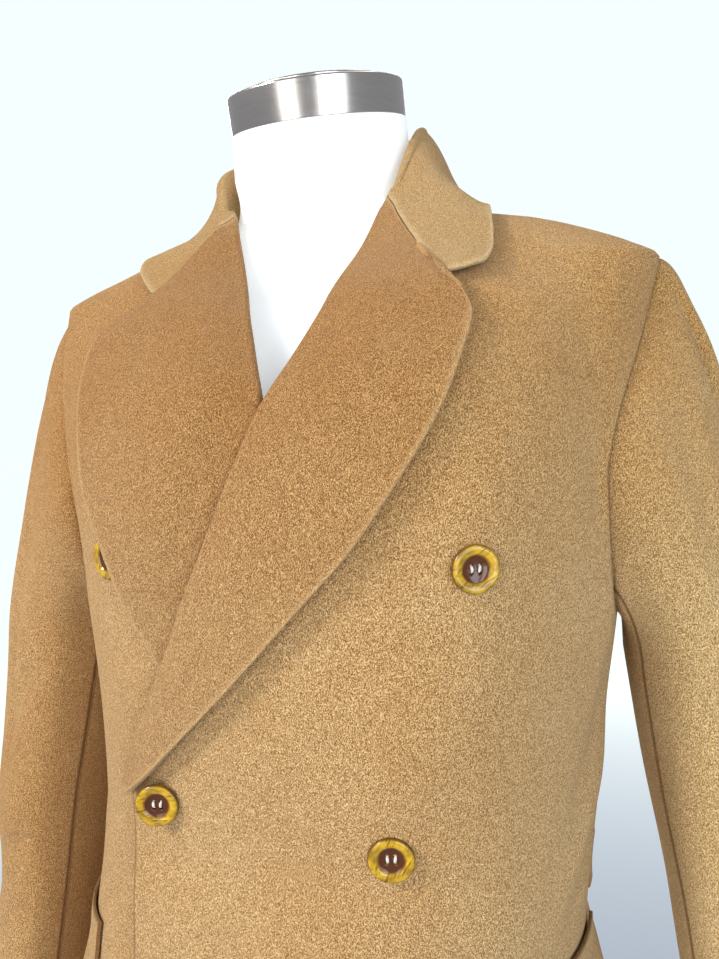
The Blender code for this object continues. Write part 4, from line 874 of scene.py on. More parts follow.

# ========================================
# Lapels and collar: the fronts and their facings turn over along the roll lines, and the collar stands
# round the neck and falls on the shoulders. Lapels and collar meet at the gorge seams. Their nap lies
# another way; their wool is tinted browner on the lapels as painted shade, and paler on the collar as
# painted light.
# ========================================

TURN_GAP = 0.0010  # the space inside a turned fold, to each side of its middle
TURN_STEPS = 10
LEAF_LIFT = TURN_GAP * 2 + WALL
ROLL_CLEAR = 0.0016
LAPEL_SPRING = 0.0042  # how much the lapel's edge springs off the front
CROWN_SKEW = 0.7  # below 1 moves the crown of the leaf towards the roll line
SIDE_PROBE = 0.004
UNDER_EDGE = 0.05  # how far out from under the over-front's edge the under-lapel's lift has come up
LAPEL_COLUMNS = ("roll_height", "edge_x", "edge_height", "crown", "edge_lift")
LAPEL_TABLES = {
    1: (
        (1.100, -0.0930, 1.1010, 0.000, 0.0048),
        (1.118, -0.0725, 1.1190, 0.001, 0.0048),
        (1.150, -0.0417, 1.1500, 0.003, 0.0046),
        (1.187, -0.0086, 1.1835, 0.003, 0.0044),
        (1.228, 0.0276, 1.2227, 0.003, 0.0042),
        (1.266, 0.0601, 1.2591, 0.003, 0.0042),
        (1.300, 0.0801, 1.2877, 0.003, 0.0042),
        (1.330, 0.0947, 1.3124, 0.003, 0.0042),
        (1.358, 0.1070, 1.3402, 0.003, 0.0042),
        (1.384, 0.1140, 1.3625, 0.003, 0.0042),
        (1.406, 0.1147, 1.3690, 0.003, 0.0042),
        (1.430, 0.1120, 1.3770, 0.003, 0.0042),
        (1.446, 0.1050, 1.3845, 0.003, 0.0042),
        (GORGE, 0.0961, 1.3905, 0.003, 0.0042),
    ),
    -1: (
        (1.062, 0.0180, 1.0640, 0.000, 0.0045),
        (1.100, -0.0120, 1.1000, 0.000, 0.0045),
        (1.145, -0.0450, 1.1450, 0.001, 0.0045),
        (1.185, -0.0704, 1.1850, 0.003, 0.0070),
        (1.224, -0.0871, 1.2240, 0.004, 0.0100),
        (1.259, -0.1004, 1.2586, 0.005, 0.0115),
        (1.290, -0.1122, 1.2869, 0.006, 0.0125),
        (1.320, -0.1178, 1.3153, 0.007, 0.0130),
        (1.350, -0.1228, 1.3469, 0.008, 0.0130),
        (1.375, -0.1245, 1.3660, 0.008, 0.0125),
        (1.398, -0.1225, 1.3787, 0.008, 0.0120),
        (1.420, -0.1170, 1.3853, 0.008, 0.0105),
        (1.440, -0.1029, 1.3964, 0.007, 0.0080),
        (GORGE, -0.0875, 1.4050, 0.006, 0.0065),
    ),
}
COLLAR_COLUMNS = (
    "place", "neck_turn", "neck_height", "fold_x", "fold_y", "fold_height", "leaf_x", "leaf_y", "puff",
)
COLLAR_TABLES = {
    1: (
        (0.00, 2.00, NECK, 0.000, 0.0665, 1.526, 0.0000, 0.0780, 0.2),
        (0.16, 1.72, NECK, 0.027, 0.0620, 1.527, 0.0400, 0.0765, 0.3),
        (0.32, 1.42, NECK, 0.052, 0.0470, 1.529, 0.0770, 0.0665, 0.6),
        (0.46, 1.15, NECK, 0.0695, 0.0230, 1.528, 0.1020, 0.0380, 0.9),
        (0.58, 0.95, NECK, 0.0720, 0.0010, 1.521, 0.1130, 0.0020, 1.0),
        (0.70, 0.80, 1.4690, 0.0705, -0.0200, 1.506, 0.1180, -0.0270, 1.0),
        (0.80, 0.70, 1.4655, 0.0675, -0.0350, 1.489, 0.1230, -0.0510, 1.0),
        (0.88, 0.62, 1.4615, 0.0650, -0.0460, 1.476, 0.1251, -0.0665, 1.0),
        (0.94, 0.57, 1.4610, 0.0622, -0.0455, 1.4750, 0.1210, -0.0785, 1.0),
        (0.97, 0.57, 1.4600, 0.0602, -0.0478, 1.4710, 0.1120, -0.0840, 1.0),
    ),
    -1: (
        (0.00, 2.00, NECK, 0.000, 0.0665, 1.526, 0.0000, 0.0780, 0.2),
        (0.16, 1.72, NECK, -0.027, 0.0620, 1.526, -0.0370, 0.0765, 0.1),
        (0.32, 1.42, NECK, -0.052, 0.0470, 1.524, -0.0720, 0.0665, 0.0),
        (0.46, 1.15, NECK, -0.0710, 0.0230, 1.521, -0.0990, 0.0360, 0.0),
        (0.58, 0.95, NECK, -0.0745, 0.0010, 1.512, -0.1130, 0.0000, 0.0),
        (0.70, 0.80, 1.4690, -0.0715, -0.0200, 1.499, -0.1195, -0.0200, 0.0),
        (0.80, 0.70, 1.4655, -0.0655, -0.0350, 1.485, -0.1230, -0.0360, 0.0),
        (0.88, 0.62, 1.4615, -0.0590, -0.0460, 1.474, -0.1210, -0.0480, 0.0),
        (0.94, 0.57, 1.4610, -0.0530, -0.0462, 1.4745, -0.1125, -0.0585, 0.0),
        (0.97, 0.57, 1.4600, -0.0502, -0.0488, 1.4705, -0.1030, -0.0670, 0.0),
    ),
}
EASE_START, EASE_SHARE, EASE_COLUMNS = 0.74, 0.85, 12  # how its fold eases over to meet the lapel's
GORGE_VISIBLE = 0.0007  # the gorge seam as it shows, narrower than between the plain solids
GORGE_SHARE = 0.8  # the most of the solids' gap that stays open
GORGE_STEPS = 5
NECK_CLEAR = 0.0065
COLLAR_LIFT = 0.0056
SMOOTH_FALL, PUFFED_FALL = 0.2, 0.35  # how far the leaf springs out of its fold
# Rows lie closer from the middle of the roll line upward, and from the collar's corner to its end.
ROLL_FOOT, ROLL_MIDDLE = 1.0622, 1.20
CORNER_PLACE, COLLAR_END = 0.80, 0.97
LAPEL_HEIGHTS = np.concatenate(
    [np.linspace(ROLL_FOOT, ROLL_MIDDLE, 40)[:-1], np.linspace(ROLL_MIDDLE, GORGE, 90)]
)
LEAF_SHARES = np.concatenate([np.linspace(0.05, 0.95, 27), [0.975, 1.0]])
COLLAR_PLACES = np.concatenate(
    [np.linspace(0, CORNER_PLACE, 60)[:-1], np.linspace(CORNER_PLACE, COLLAR_END, 28)]
)
lapel_tables = {which: table(LAPEL_COLUMNS, rows) for which, rows in LAPEL_TABLES.items()}
collar_tables = {which: table(COLLAR_COLUMNS, rows) for which, rows in COLLAR_TABLES.items()}


def on_front(side, x, height, lift=0.0):
    """A point over the front of one side, moved out by lift from that front's own outer face."""
    under = wrap_lift(x, height) if side > 0 else 0.0
    return face(turn_at(x, height), height, under + lift)


def front_normal(side, x, height):
    """The way straight out of a front at one of its points."""
    across = on_front(side, x + SIDE_PROBE, height) - on_front(side, x - SIDE_PROBE, height)
    up = on_front(side, x, height + SIDE_PROBE) - on_front(side, x, height - SIDE_PROBE)
    return unit(np.cross(across, up))


SEARCH_FOOT = 1.15  # a height below all that lies on the shoulders
HALVINGS = 30  # enough to find a height to a millionth of a millimetre


def height_over(x, y):
    """The height at which the ring passes through a place seen from above, on the chest or shoulders."""
    x, y = np.broadcast_arrays(np.asarray(x, float), np.asarray(y, float))
    low, high = np.full(x.shape, SEARCH_FOOT), np.full(x.shape, NECK)
    for _ in range(HALVINGS):
        middle = (low + high) / 2
        depth = np.where(y < 0, coat["front"](middle), coat["back"](middle))
        power = coat["square"](middle)
        across = (x - coat["shift"](middle)) / coat["half_width"](middle)
        reach = abs(across) ** power + abs(y / depth) ** power
        low, high = np.where(reach < 1, middle, low), np.where(reach < 1, high, middle)
    return (low + high) / 2


def turn_over(x, y, height):
    """The turn of a place seen from above, at the height that height_over gives."""
    depth = np.where(np.asarray(y) < 0, coat["front"](height), coat["back"](height))
    power = coat["square"](height) / 2
    share = (x - coat["shift"](height)) / coat["half_width"](height)
    along = np.where(np.asarray(y) < 0, 1, -1) * abs(y / depth) ** power
    return np.sign(share) * np.arctan2(abs(share) ** power, along) * 2 / math.pi


def fold_ring(centre, along, out):
    """Points round a turned fold: from the face below, over the crest, to the face above."""
    radius = TURN_GAP + WALL
    angle = np.linspace(0, math.pi, TURN_STEPS + 1)
    return (
        centre[..., None, :]
        - out[..., None, :] * radius * np.cos(angle)[:, None]
        + along[..., None, :] * radius * np.sin(angle)[:, None]
    )


def lapel_grid(side):
    """The face of one lapel: rows up its roll line, columns from inside the fold to the edge."""
    rows = lapel_tables[side]
    roll_h = np.array([h for h in LAPEL_HEIGHTS if h >= rows["roll_height"][0]])
    at = {name: curve(rows["roll_height"], rows[name])(roll_h)[:, None] for name in LAPEL_COLUMNS[1:]}
    roll_at = middle_x[side](roll_h)
    root = on_front(side, roll_at, roll_h)
    normal = front_normal(side, roll_at, roll_h)
    share = LEAF_SHARES
    leaf_x = roll_at[:, None] * (1 - share) + at["edge_x"] * share
    leaf_h = roll_h[:, None] * (1 - share) + at["edge_height"] * share
    lift = (at["edge_lift"] - LEAF_LIFT) * share + at["crown"] * np.sin(math.pi * share**CROWN_SKEW)
    lift = lift + LAPEL_SPRING * share**2
    if side < 0:
        lift = lift * smooth(middle_x[1](leaf_h) - leaf_x, 0.0, UNDER_EDGE)
    flat = on_front(side, leaf_x, leaf_h, lift + LEAF_LIFT)
    out = flat[:, -1] - root
    out = unit(out - normal * (out * normal).sum(-1, keepdims=True))
    centre = root + normal * TURN_GAP - out * ROLL_CLEAR
    ring = fold_ring(centre, -out, normal)
    lead = ring[:, :1] + out[:, None] * ROLL_CLEAR / 2
    return np.concatenate([lead, ring, flat], axis=1)


def leaf(start, start_way, end, end_way, shares):
    """Points of the turned leaf from the fold to its edge."""
    reach = np.linalg.norm(end - start, axis=-1, keepdims=True)
    points = []
    for s in shares:
        blend = hermite(s)
        ways = start_way * reach * blend[1] + end_way * reach * blend[3]
        points.append(start * blend[0] + end * blend[2] + ways)
    return np.stack(points, -2)


def kept_above(fall, side):
    """The points of the fall moved out to where they lie on the coat, if they would lie within it."""
    for _ in range(2):
        height = height_over(fall[..., 0], fall[..., 1])
        normal = face_normal(turn_over(fall[..., 0], fall[..., 1], height), height)
        above = (fall[..., 2] - height) * normal[..., 2]
        needed = COLLAR_LIFT + (wrap_lift(fall[..., 0], height) if side > 0 else 0.0)
        fall = fall + normal * np.maximum(needed - above, 0)[..., None]
    return fall


def half_collar(side):
    """The collar's face from the centre back to the gorge seam of one side."""
    rows = collar_tables[side]
    at = {name: curve(rows["place"], rows[name])(COLLAR_PLACES) for name in COLLAR_COLUMNS[1:]}
    at_neck = at["neck_height"] > NECK - 1e-6
    on_edge = np.array([abs(front_turn(h, side)) for h in at["neck_height"]])
    neck_turn = np.where(at_neck, np.maximum(at["neck_turn"], on_edge), on_edge)
    root = face(side * neck_turn, at["neck_height"], -WALL)
    root[:, :2] -= unit(root[:, :2]) * NECK_CLEAR
    crest = np.stack([at["fold_x"], at["fold_y"], at["fold_height"]], -1)
    leaf_x = at["leaf_x"]
    height = height_over(leaf_x, at["leaf_y"])
    turn = turn_over(leaf_x, at["leaf_y"], height)
    edge = face(turn, height, COLLAR_LIFT + (wrap_lift(leaf_x, height) if side > 0 else 0.0))
    edge_normal = face_normal(turn, height)
    along = unit(crest - root)
    out = edge - crest
    out = unit(out - along * (out * along).sum(-1, keepdims=True))
    centre = crest - along * (TURN_GAP + WALL)
    ring = fold_ring(centre, along, out)
    lead = root[:, None] + along[:, None] * SEAM * 2
    fall_way = unit(edge - ring[:, -1])
    end_way = unit(fall_way - edge_normal * (fall_way * edge_normal).sum(-1, keepdims=True))
    puff = at["puff"][:, None]
    start_way = unit((out * SMOOTH_FALL - along) * (1 - puff) + (fall_way + out * PUFFED_FALL) * puff)
    fall = kept_above(leaf(ring[:, -1], start_way, edge, end_way, LEAF_SHARES), side)
    grid = np.concatenate([lead, ring, fall], axis=1)
    gorge = lapel_grid(side)[-1]
    gap = grid[-1] - gorge
    share = np.minimum(GORGE_VISIBLE / np.linalg.norm(gap, axis=-1), GORGE_SHARE)
    last = gorge + gap * share[:, None]
    ease = EASE_SHARE * smooth(COLLAR_PLACES, EASE_START, COLLAR_PLACES[-1])
    turned_over = lead.shape[1] + ring.shape[1]
    near_fold = 1 - smooth(np.arange(grid.shape[1]), turned_over, turned_over + EASE_COLUMNS)
    grid = grid + ease[:, None, None] * near_fold[None, :, None] * (last - grid[-1])
    between = grid[-1] + (last - grid[-1]) * np.linspace(0, 1, GORGE_STEPS + 1)[1:, None, None]
    return np.concatenate([grid, between], axis=0)


right_lapel, left_lapel = lapel_grid(-1), lapel_grid(1)
collar_face = np.concatenate([half_collar(-1)[:0:-1], half_collar(1)])
turned = {"lapel_right": right_lapel, "collar": collar_face, "lapel_left": left_lapel[::-1]}
turned = {name: grid[:, ::-1] for name, grid in turned.items()}
turned_normal = {name: grid_normals(grid) for name, grid in turned.items()}
for before, after in (("lapel_right", "collar"), ("collar", "lapel_left")):
    shared = unit(turned_normal[before][-1] + turned_normal[after][0])
    turned_normal[before][-1] = turned_normal[after][0] = shared

# Painted shade tints the lapels browner; painted light tints the collar paler, against the painted shade high
# up.
lapel_cloth = wool("lapel_cloth", painted_light_tint=(0.84, 0.79, 0.74), contrast=0.95, lean=0.5, rim=0.30)
collar_cloth = wool("collar_cloth", painted_light_tint=(1.04, 1.20, 1.44), contrast=0.70, lean=-0.6, rim=0.25)
for name, grid in turned.items():
    cloth = collar_cloth if name == "collar" else lapel_cloth
    piece = cloth_wall(name + "_cloth", grid, grid - turned_normal[name] * WALL, cloth)
    declare(piece, name)

# ========================================
# Pocket flaps: two layers of the cloth, set into each front at the hip a little aslant, with their lower
# corners rounded. They lie flat on the skirt.
# ========================================

FLAP_TOP = 0.990
FLAP_DROP = 0.010
FLAP_DEPTH = 0.062
FLAP_TURNS = (0.50, 0.955)
FLAP_CORNER = 0.016
FLAP_CURL = 0.0008  # how much its lower edge stands off
FLAP_CREASE_SHARE = 0.6  # how much of the body's creases the flap takes
TRIM_LIFT = 0.0040
HIP_METRES = 0.30  # about the length of one turn round the hips


def strip_grid(turns, tops, depth, corner, columns, rows):
    """Turns and heights of a strip on the coat's face, with its lower corners rounded."""
    share = (1 - np.cos(np.linspace(0, math.pi, columns))) / 2
    turn = turns[0] + (turns[1] - turns[0]) * share
    top = tops[0] + (tops[1] - tops[0]) * share
    length = abs(turns[1] - turns[0]) * HIP_METRES
    inside = np.clip(np.minimum(share, 1 - share) * length / corner, 0, 1)
    drop = depth - corner * (1 - np.sqrt(1 - (1 - inside) ** 2))
    level = np.linspace(0, 1, rows)[:, None]
    heights = (top - drop) * (1 - level) + top * level
    return np.broadcast_to(turn, heights.shape), heights, share


for side, side_name in SIDE_NAMES.items():
    turns = [side * turn for turn in FLAP_TURNS]
    turn, height, _ = strip_grid(turns, (FLAP_TOP, FLAP_TOP - FLAP_DROP), FLAP_DEPTH, FLAP_CORNER, 60, 24)
    under = wrap_lift(ring_point(turn, height)[..., 0], height) if side > 0 else 0.0
    upward = (height - height[:1]) / FLAP_DEPTH
    lift = under + TRIM_LIFT + FLAP_CURL * smooth(1 - upward, 0.5, 1.0)
    lift = lift + creased(turn, height) * FLAP_CREASE_SHARE
    if side < 0:
        turn, height, lift = turn[:, ::-1], height[:, ::-1], lift[:, ::-1]
    flap = draped_wall("pocket_flap_" + side_name, turn, height, lift)

# ========================================
# Half belt: a strap of the same cloth with rounded ends, sewn to the side seams at its ends and standing
# a little off the back between them.
# ========================================

BELT_TOP = 1.008
BELT_DEPTH = 0.040
BELT_TURNS = (1.045, 2.955)
BELT_CORNER = 0.014
BELT_SEAT = 0.0027  # how far its ends lie out from the back's face, and how much more the rest of it does
BELT_BOW = 0.0062
BELT_BOW_END = 0.06  # the share of its length over which the rest comes out

turn, height, share = strip_grid(BELT_TURNS, (BELT_TOP, BELT_TOP), BELT_DEPTH, BELT_CORNER, 140, 16)
middle = BELT_TOP - BELT_DEPTH / 2
height = height[0] + 2 * (middle - height[0]) * np.linspace(0, 1, len(height))[:, None]
lift = BELT_SEAT + BELT_BOW * smooth(np.minimum(share, 1 - share), 0, BELT_BOW_END)
lift = np.broadcast_to(lift, turn.shape) + np.maximum(creased(turn, height), 0)
strap = draped_wall("half_belt", turn, height, lift)

# ========================================
# Buttons: six polished horn buttons with a raised rim, a dished brown middle and four holes, sewn on with
# white thread. The two at the over-front's edge hang turned a little on their threads.
# ========================================

BUTTON_RADIUS = 0.0132
BUTTON_THICK = 0.0042
BUTTON_FLAT = 0.80
HOLE_RADIUS = 0.00105
HOLE_PITCH = 0.0042
BUTTON_STEPS = 64
# The profile from the middle of the back over the rim to the dish: parts of the radius and thickness.
BUTTON_PROFILE = (
    (0.00, 0.00), (0.80, 0.00), (0.90, 0.04), (0.97, 0.20), (1.00, 0.45), (0.995, 0.68), (0.965, 0.87),
    (0.92, 0.96), (0.86, 0.995), (0.80, 0.985), (0.72, 0.94), (0.65, 0.87), (0.605, 0.78), (0.575, 0.67),
    (0.535, 0.60), (0.47, 0.545), (0.36, 0.49), (0.18, 0.445), (0.00, 0.43),
)
# Name, the front it sits on, x, height, degrees it is turned, how far it stands off, its grain's degrees.
BUTTONS = (
    ("button_1_left", 1, 0.1147, 1.2423, 0, -0.0003, 35),
    ("button_2_left", 1, 0.0671, 1.0830, 0, 0.0006, 62),
    ("button_3_left", 1, 0.0671, 0.9280, 0, 0.0001, 15),
    ("button_1_right", -1, -0.1108, 1.2424, 0, 0.0002, 80),
    ("button_2_right", 1, -0.0690, 1.1005, 26, -0.0002, 4),
    ("button_3_right", 1, -0.0715, 0.9425, 4, 0.0, 50),
)
STRAND_RADIUS = 0.00030
STRANDS = 3  # threads side by side between each pair of holes
STRAND_SPACE = STRAND_RADIUS * 1.7
STRAND_SKEW = 0.0007  # how much a thread runs askew, and how far it stands over the dish
STRAND_RISES = (0.00055, 0.00077)
STRAND_WAVER = 0.00022
DISH = 0.49 * BUTTON_THICK
HOLE_DIP = 0.0016  # how far the threads go down into the holes
THREAD_STEPS, SHANK_STEPS = 8, 4


def horn(name):
    """Polished horn: an amber rim with brown streaks, and a dark middle."""
    shader = Shader(name, Coat_Weight=0.3, Coat_Roughness=0.05, Specular_IOR_Level=0.3)
    where = shader.node("ShaderNodeUVMap", {"uv_map": "disc"})
    centred = shader.node("ShaderNodeVectorMath", {"operation": "SUBTRACT"}, {0: where, 1: (0.5, 0.5, 0)})
    length = shader.node("ShaderNodeVectorMath", {"operation": "LENGTH"}, {0: centred}, 1)
    reach = length * 2.0
    streak_at = shader.node("ShaderNodeMapping", None, {"Vector": where, "Scale": (2.2, 15.0, 1.0)})
    streaks = shader.noise(streak_at, 1.3, 3.0, 0.6, 0.8)
    cloud = shader.noise(where, 3.2, 2.0)
    amber = shader.mixed(shader.ranged(cloud, 0.38, 0.62), (0.66, 0.40, 0.020), (0.30, 0.175, 0.014))
    rim = shader.mixed(shader.ranged(streaks, 0.53, 0.66) * 0.85, amber, (0.075, 0.028, 0.006))
    wobble = reach + (cloud - 0.5) * 0.22
    middle = shader.ranged(wobble, 0.63, 0.53)
    colour = shader.mixed(middle, rim, (0.090, 0.024, 0.006))
    colour = shader.mixed(shader.ranged(reach, 0.93, 0.985) * 0.85, colour, (0.075, 0.030, 0.006))
    rough = shader.ranged(streaks, 0.3, 0.7, 0.14, 0.24)
    return shader.finish(Base_Color=colour, Roughness=rough)


def cotton(name):
    """White sewing cotton, twisted."""
    shader = Shader(name, Sheen_Weight=0.3, Specular_IOR_Level=0.3)
    twist = shader.noise(shader.place((1, 1, 1), (0.6, 0.3, 0)), 2600.0, 1.0)
    colour = shader.mixed(shader.ranged(twist, 0.35, 0.65), (0.62, 0.55, 0.48), (0.93, 0.90, 0.86))
    normal = shader.bumped(twist, 0.5, 0.0002)
    return shader.finish(Base_Color=colour, Roughness=shader.ranged(twist, 0, 1, 0.9, 0.7), Normal=normal)


def thread_tree(finish):
    """A tree that turns each drawn path into a thread, a little uneven, with inputs for its sizes."""
    tree = bpy.data.node_groups.new("thread_along_paths", "GeometryNodeTree")
    face_of = tree.interface
    face_of.new_socket("Geometry", in_out="INPUT", socket_type="NodeSocketGeometry")
    radius = face_of.new_socket("Strand radius", in_out="INPUT", socket_type="NodeSocketFloat")
    unevenness = face_of.new_socket("Unevenness", in_out="INPUT", socket_type="NodeSocketFloat")
    face_of.new_socket("Geometry", in_out="OUTPUT", socket_type="NodeSocketGeometry")

    def add(kind, settings=None, **values):
        made = tree.nodes.new(kind)
        for setting, value in (settings or {}).items():
            setattr(made, setting, value)
        for socket, value in values.items():
            socket = socket.replace("_", " ")
            if isinstance(value, bpy.types.NodeSocket):
                tree.links.new(value, made.inputs[socket])
            else:
                made.inputs[socket].default_value = value
        return made

    source = add("NodeGroupInput")
    paths = add("GeometryNodeMeshToCurve", Mesh=source.outputs["Geometry"])
    even = add("GeometryNodeResampleCurve", Curve=paths.outputs["Curve"], Count=14)
    noise = add("ShaderNodeTexNoise", {"noise_dimensions": "4D"}, Scale=900.0, W=7.0)
    centred = add("ShaderNodeVectorMath", {"operation": "SUBTRACT"})
    tree.links.new(noise.outputs["Color"], centred.inputs[0])
    centred.inputs[1].default_value = (0.5, 0.5, 0.5)
    scaled = add("ShaderNodeVectorMath", {"operation": "SCALE"})
    tree.links.new(centred.outputs[0], scaled.inputs[0])
    tree.links.new(source.outputs["Unevenness"], scaled.inputs["Scale"])
    moved = add("GeometryNodeSetPosition", Geometry=even.outputs["Curve"], Offset=scaled.outputs[0])
    section = add("GeometryNodeCurvePrimitiveCircle", Resolution=8, Radius=source.outputs["Strand radius"])
    tube = add("GeometryNodeCurveToMesh", Curve=moved.outputs["Geometry"], Fill_Caps=True)
    tree.links.new(section.outputs["Curve"], tube.inputs["Profile Curve"])
    real = add("GeometryNodeRealizeInstances", Geometry=tube.outputs["Mesh"])
    with_painted_light = add("GeometryNodeSetMaterial", Geometry=real.outputs["Geometry"], Material=finish)
    sink = add("NodeGroupOutput")
    tree.links.new(with_painted_light.outputs["Geometry"], sink.inputs["Geometry"])
    return tree, radius.identifier, unevenness.identifier


def made_plain(piece, keep_name):
    """The piece with what its modifiers make of it, as a plain mesh."""
    graph = bpy.context.evaluated_depsgraph_get()
    mesh = bpy.data.meshes.new_from_object(piece.evaluated_get(graph))
    mesh.name = keep_name
    piece.modifiers.clear()
    piece.data = mesh
    return piece


horn_finish = horn("polished_horn")
cotton_finish = cotton("white_cotton")
cotton_tree, radius_input, uneven_input = thread_tree(cotton_finish)
bored = bpy.data.materials.new("bored_hole")
bored.use_nodes = True
bored.node_tree.nodes["Principled BSDF"].inputs["Base Color"].default_value = (0.03, 0.012, 0.006, 1)

for name, side, x, height, turned_by, stand_off, grain in BUTTONS:
    swing = math.radians(turned_by)
    flat = front_normal(side, x, height)
    seat = on_front(side, x, height) + flat * (stand_off + BUTTON_FLAT * BUTTON_RADIUS * math.sin(swing))
    sideways = unit(np.cross(np.array([0, 0, 1.0]), flat))
    normal = flat * math.cos(swing) + sideways * math.sin(swing)
    sideways = unit(np.cross(np.array([0, 0, 1.0]), normal))
    axes = np.stack([sideways, np.cross(normal, sideways), normal], -1)
    local = []
    for reach, level in BUTTON_PROFILE:
        for i in range(BUTTON_STEPS if reach else 1):
            angle = 2 * math.pi * i / BUTTON_STEPS
            flat_place = (math.cos(angle) * reach * BUTTON_RADIUS, math.sin(angle) * reach * BUTTON_RADIUS)
            local.append((*flat_place, level * BUTTON_THICK))
    local = np.array(local)
    faces = []
    for i in range(BUTTON_STEPS):
        j = (i + 1) % BUTTON_STEPS
        faces.append([0, 1 + j, 1 + i])
        for band in range(len(BUTTON_PROFILE) - 3):
            low = 1 + band * BUTTON_STEPS
            faces.append([low + i, low + j, low + BUTTON_STEPS + j, low + BUTTON_STEPS + i])
        last = 1 + (len(BUTTON_PROFILE) - 3) * BUTTON_STEPS
        faces.append([last + i, last + j, len(local) - 1])
    button = add_mesh(name + "_horn", seat + local @ axes.T, faces, [horn_finish, bored], 0, 45)
    grain_way = math.radians(grain)
    disc = local[:, :2] @ np.array(
        [[math.cos(grain_way), -math.sin(grain_way)], [math.sin(grain_way), math.cos(grain_way)]]
    )
    layer = button.data.uv_layers.new(name="disc")
    for loop in button.data.loops:
        layer.data[loop.index].uv = disc[loop.vertex_index] / BUTTON_RADIUS * 0.5 + 0.5

    drill = bmesh.new()
    for across, up in ((1, 1), (1, -1), (-1, 1), (-1, -1)):
        bore = bmesh.ops.create_cone(
            drill, cap_ends=True, segments=16, radius1=HOLE_RADIUS, radius2=HOLE_RADIUS, depth=0.02
        )
        bmesh.ops.translate(drill, verts=bore["verts"], vec=(across * HOLE_PITCH / 2, up * HOLE_PITCH / 2, 0))
    for vertex in drill.verts:
        vertex.co = (seat + axes @ np.array(vertex.co)).tolist()
    drill_mesh = bpy.data.meshes.new("drill")
    drill.to_mesh(drill_mesh)
    drill.free()
    drill_mesh.materials.append(horn_finish)
    drill_mesh.materials.append(bored)
    drill_mesh.polygons.foreach_set("material_index", np.ones(len(drill_mesh.polygons), np.int32))
    cutter = bpy.data.objects.new("drill", drill_mesh)
    bpy.context.scene.collection.objects.link(cutter)
    cut = button.modifiers.new("Holes", "BOOLEAN")
    cut.operation = "DIFFERENCE"
    cut.solver = "EXACT"
    cut.object = cutter
    made_plain(button, name + "_horn")
    bpy.data.objects.remove(cutter, do_unlink=True)
    declare(button, name)

    # The thread: strands across each pair of holes, and a shank of four that spread up to the holes.
    paths, edges = [], []
    half = HOLE_PITCH / 2
    for row in (1, -1):
        for strand in range(STRANDS):
            beside = (strand - (STRANDS - 1) / 2) * STRAND_SPACE
            for step in range(THREAD_STEPS + 1):
                share = step / THREAD_STEPS
                along = (share * 2 - 1) * (half + 0.0002)
                arch = math.sin(math.pi * share) ** 0.6
                level = DISH - HOLE_DIP + (HOLE_DIP + STRAND_RISES[strand % 2]) * arch
                if step:
                    edges.append((len(paths) - 1, len(paths)))
                skew = STRAND_SKEW * (share - 0.5) * (1 if row > 0 else -0.6)
                paths.append((row * half + beside * arch + skew, along, level))
    for corner_x, corner_y in ((-half, -half), (half, -half), (-half, half), (half, half)):
        for step in range(SHANK_STEPS + 1):
            share = step / SHANK_STEPS
            spread = 0.35 + 0.65 * share
            if step:
                edges.append((len(paths) - 1, len(paths)))
            paths.append((corner_x * spread, corner_y * spread, 0.0001 + (DISH - HOLE_DIP) * share))
    wraps = bpy.data.meshes.new(name + "_thread")
    wraps.from_pydata((seat + np.array(paths) @ axes.T).tolist(), edges, [])
    thread = bpy.data.objects.new(name + "_thread", wraps)
    bpy.context.scene.collection.objects.link(thread)
    sewn = thread.modifiers.new("Thread", "NODES")
    sewn.node_group = cotton_tree
    sewn[radius_input] = STRAND_RADIUS
    sewn[uneven_input] = STRAND_WAVER
    made_plain(thread, name + "_thread")
    thread.data.shade_smooth()
    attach(thread, "root")

# ========================================
# Dress form: a smooth limbless torso of white shell with sloping shoulders and a bare neck. The coat
# rests on its shoulders.
# ========================================

FORM_COLUMNS = ("height", "half_width", "front", "back", "centre_x", "centre_y", "tilt")
SEAT = 0.0040  # how far below the coat the form's shoulders lie, and how much less deep they are
COAT_ROOM = 0.006
NECK_RADIUS = 0.0625
FORM_FOOT = 0.800
CAP_CENTRE = (-0.001, -0.001, 1.5305)
CAP_TILT = math.radians(15.0)
FORM_STEPS = 96
FORM_ROWS = [
    (FORM_FOOT, 0.150, 0.112, 0.118, 0.0, 0.0, 0.0),
    (0.860, 0.164, 0.122, 0.128, 0.0, 0.0, 0.0),
    (0.930, 0.160, 0.118, 0.122, 0.0, 0.0, 0.0),
    (1.020, 0.138, 0.104, 0.100, 0.0, 0.0, 0.0),
    (1.100, 0.145, 0.108, 0.102, 0.0, 0.0, 0.0),
    (1.180, 0.160, 0.120, 0.110, 0.0, 0.0, 0.0),
    (1.250, 0.174, 0.124, 0.114, 0.0, 0.0, 0.0),
    (1.310, 0.184, 0.112, 0.112, 0.0, 0.0, 0.0),
    (1.355, 0.190, 0.096, 0.104, 0.0, 0.0, 0.0),
    (1.388, 0.194, 0.079, 0.088, 0.0, 0.0, 0.0),
    (1.410, 0.197, 0.064, 0.071, 0.0, 0.0, 0.0),
]
for height in (1.4365, 1.446, GORGE):
    half_width = min(float(coat["half_width"](height)), 0.200)
    front, back = float(coat["front"](height)) - COAT_ROOM, float(coat["back"](height)) - COAT_ROOM
    FORM_ROWS.append((height - SEAT, half_width, front, back, float(coat["shift"](height)), 0.0, 0.0))
FORM_ROWS += [
    (1.4605, 0.0770, 0.0510, 0.0530, 0.0034, 0.0, 0.00),
    (1.4695, 0.0635, 0.0530, 0.0540, 0.0, 0.0, 0.02),
    (1.482, 0.0612, 0.0565, 0.0570, 0.0, 0.0, 0.08),
    (1.500, 0.0630, 0.0605, 0.0610, 0.0, -0.001, 0.18),
]
cap_depth = NECK_RADIUS * math.cos(CAP_TILT)
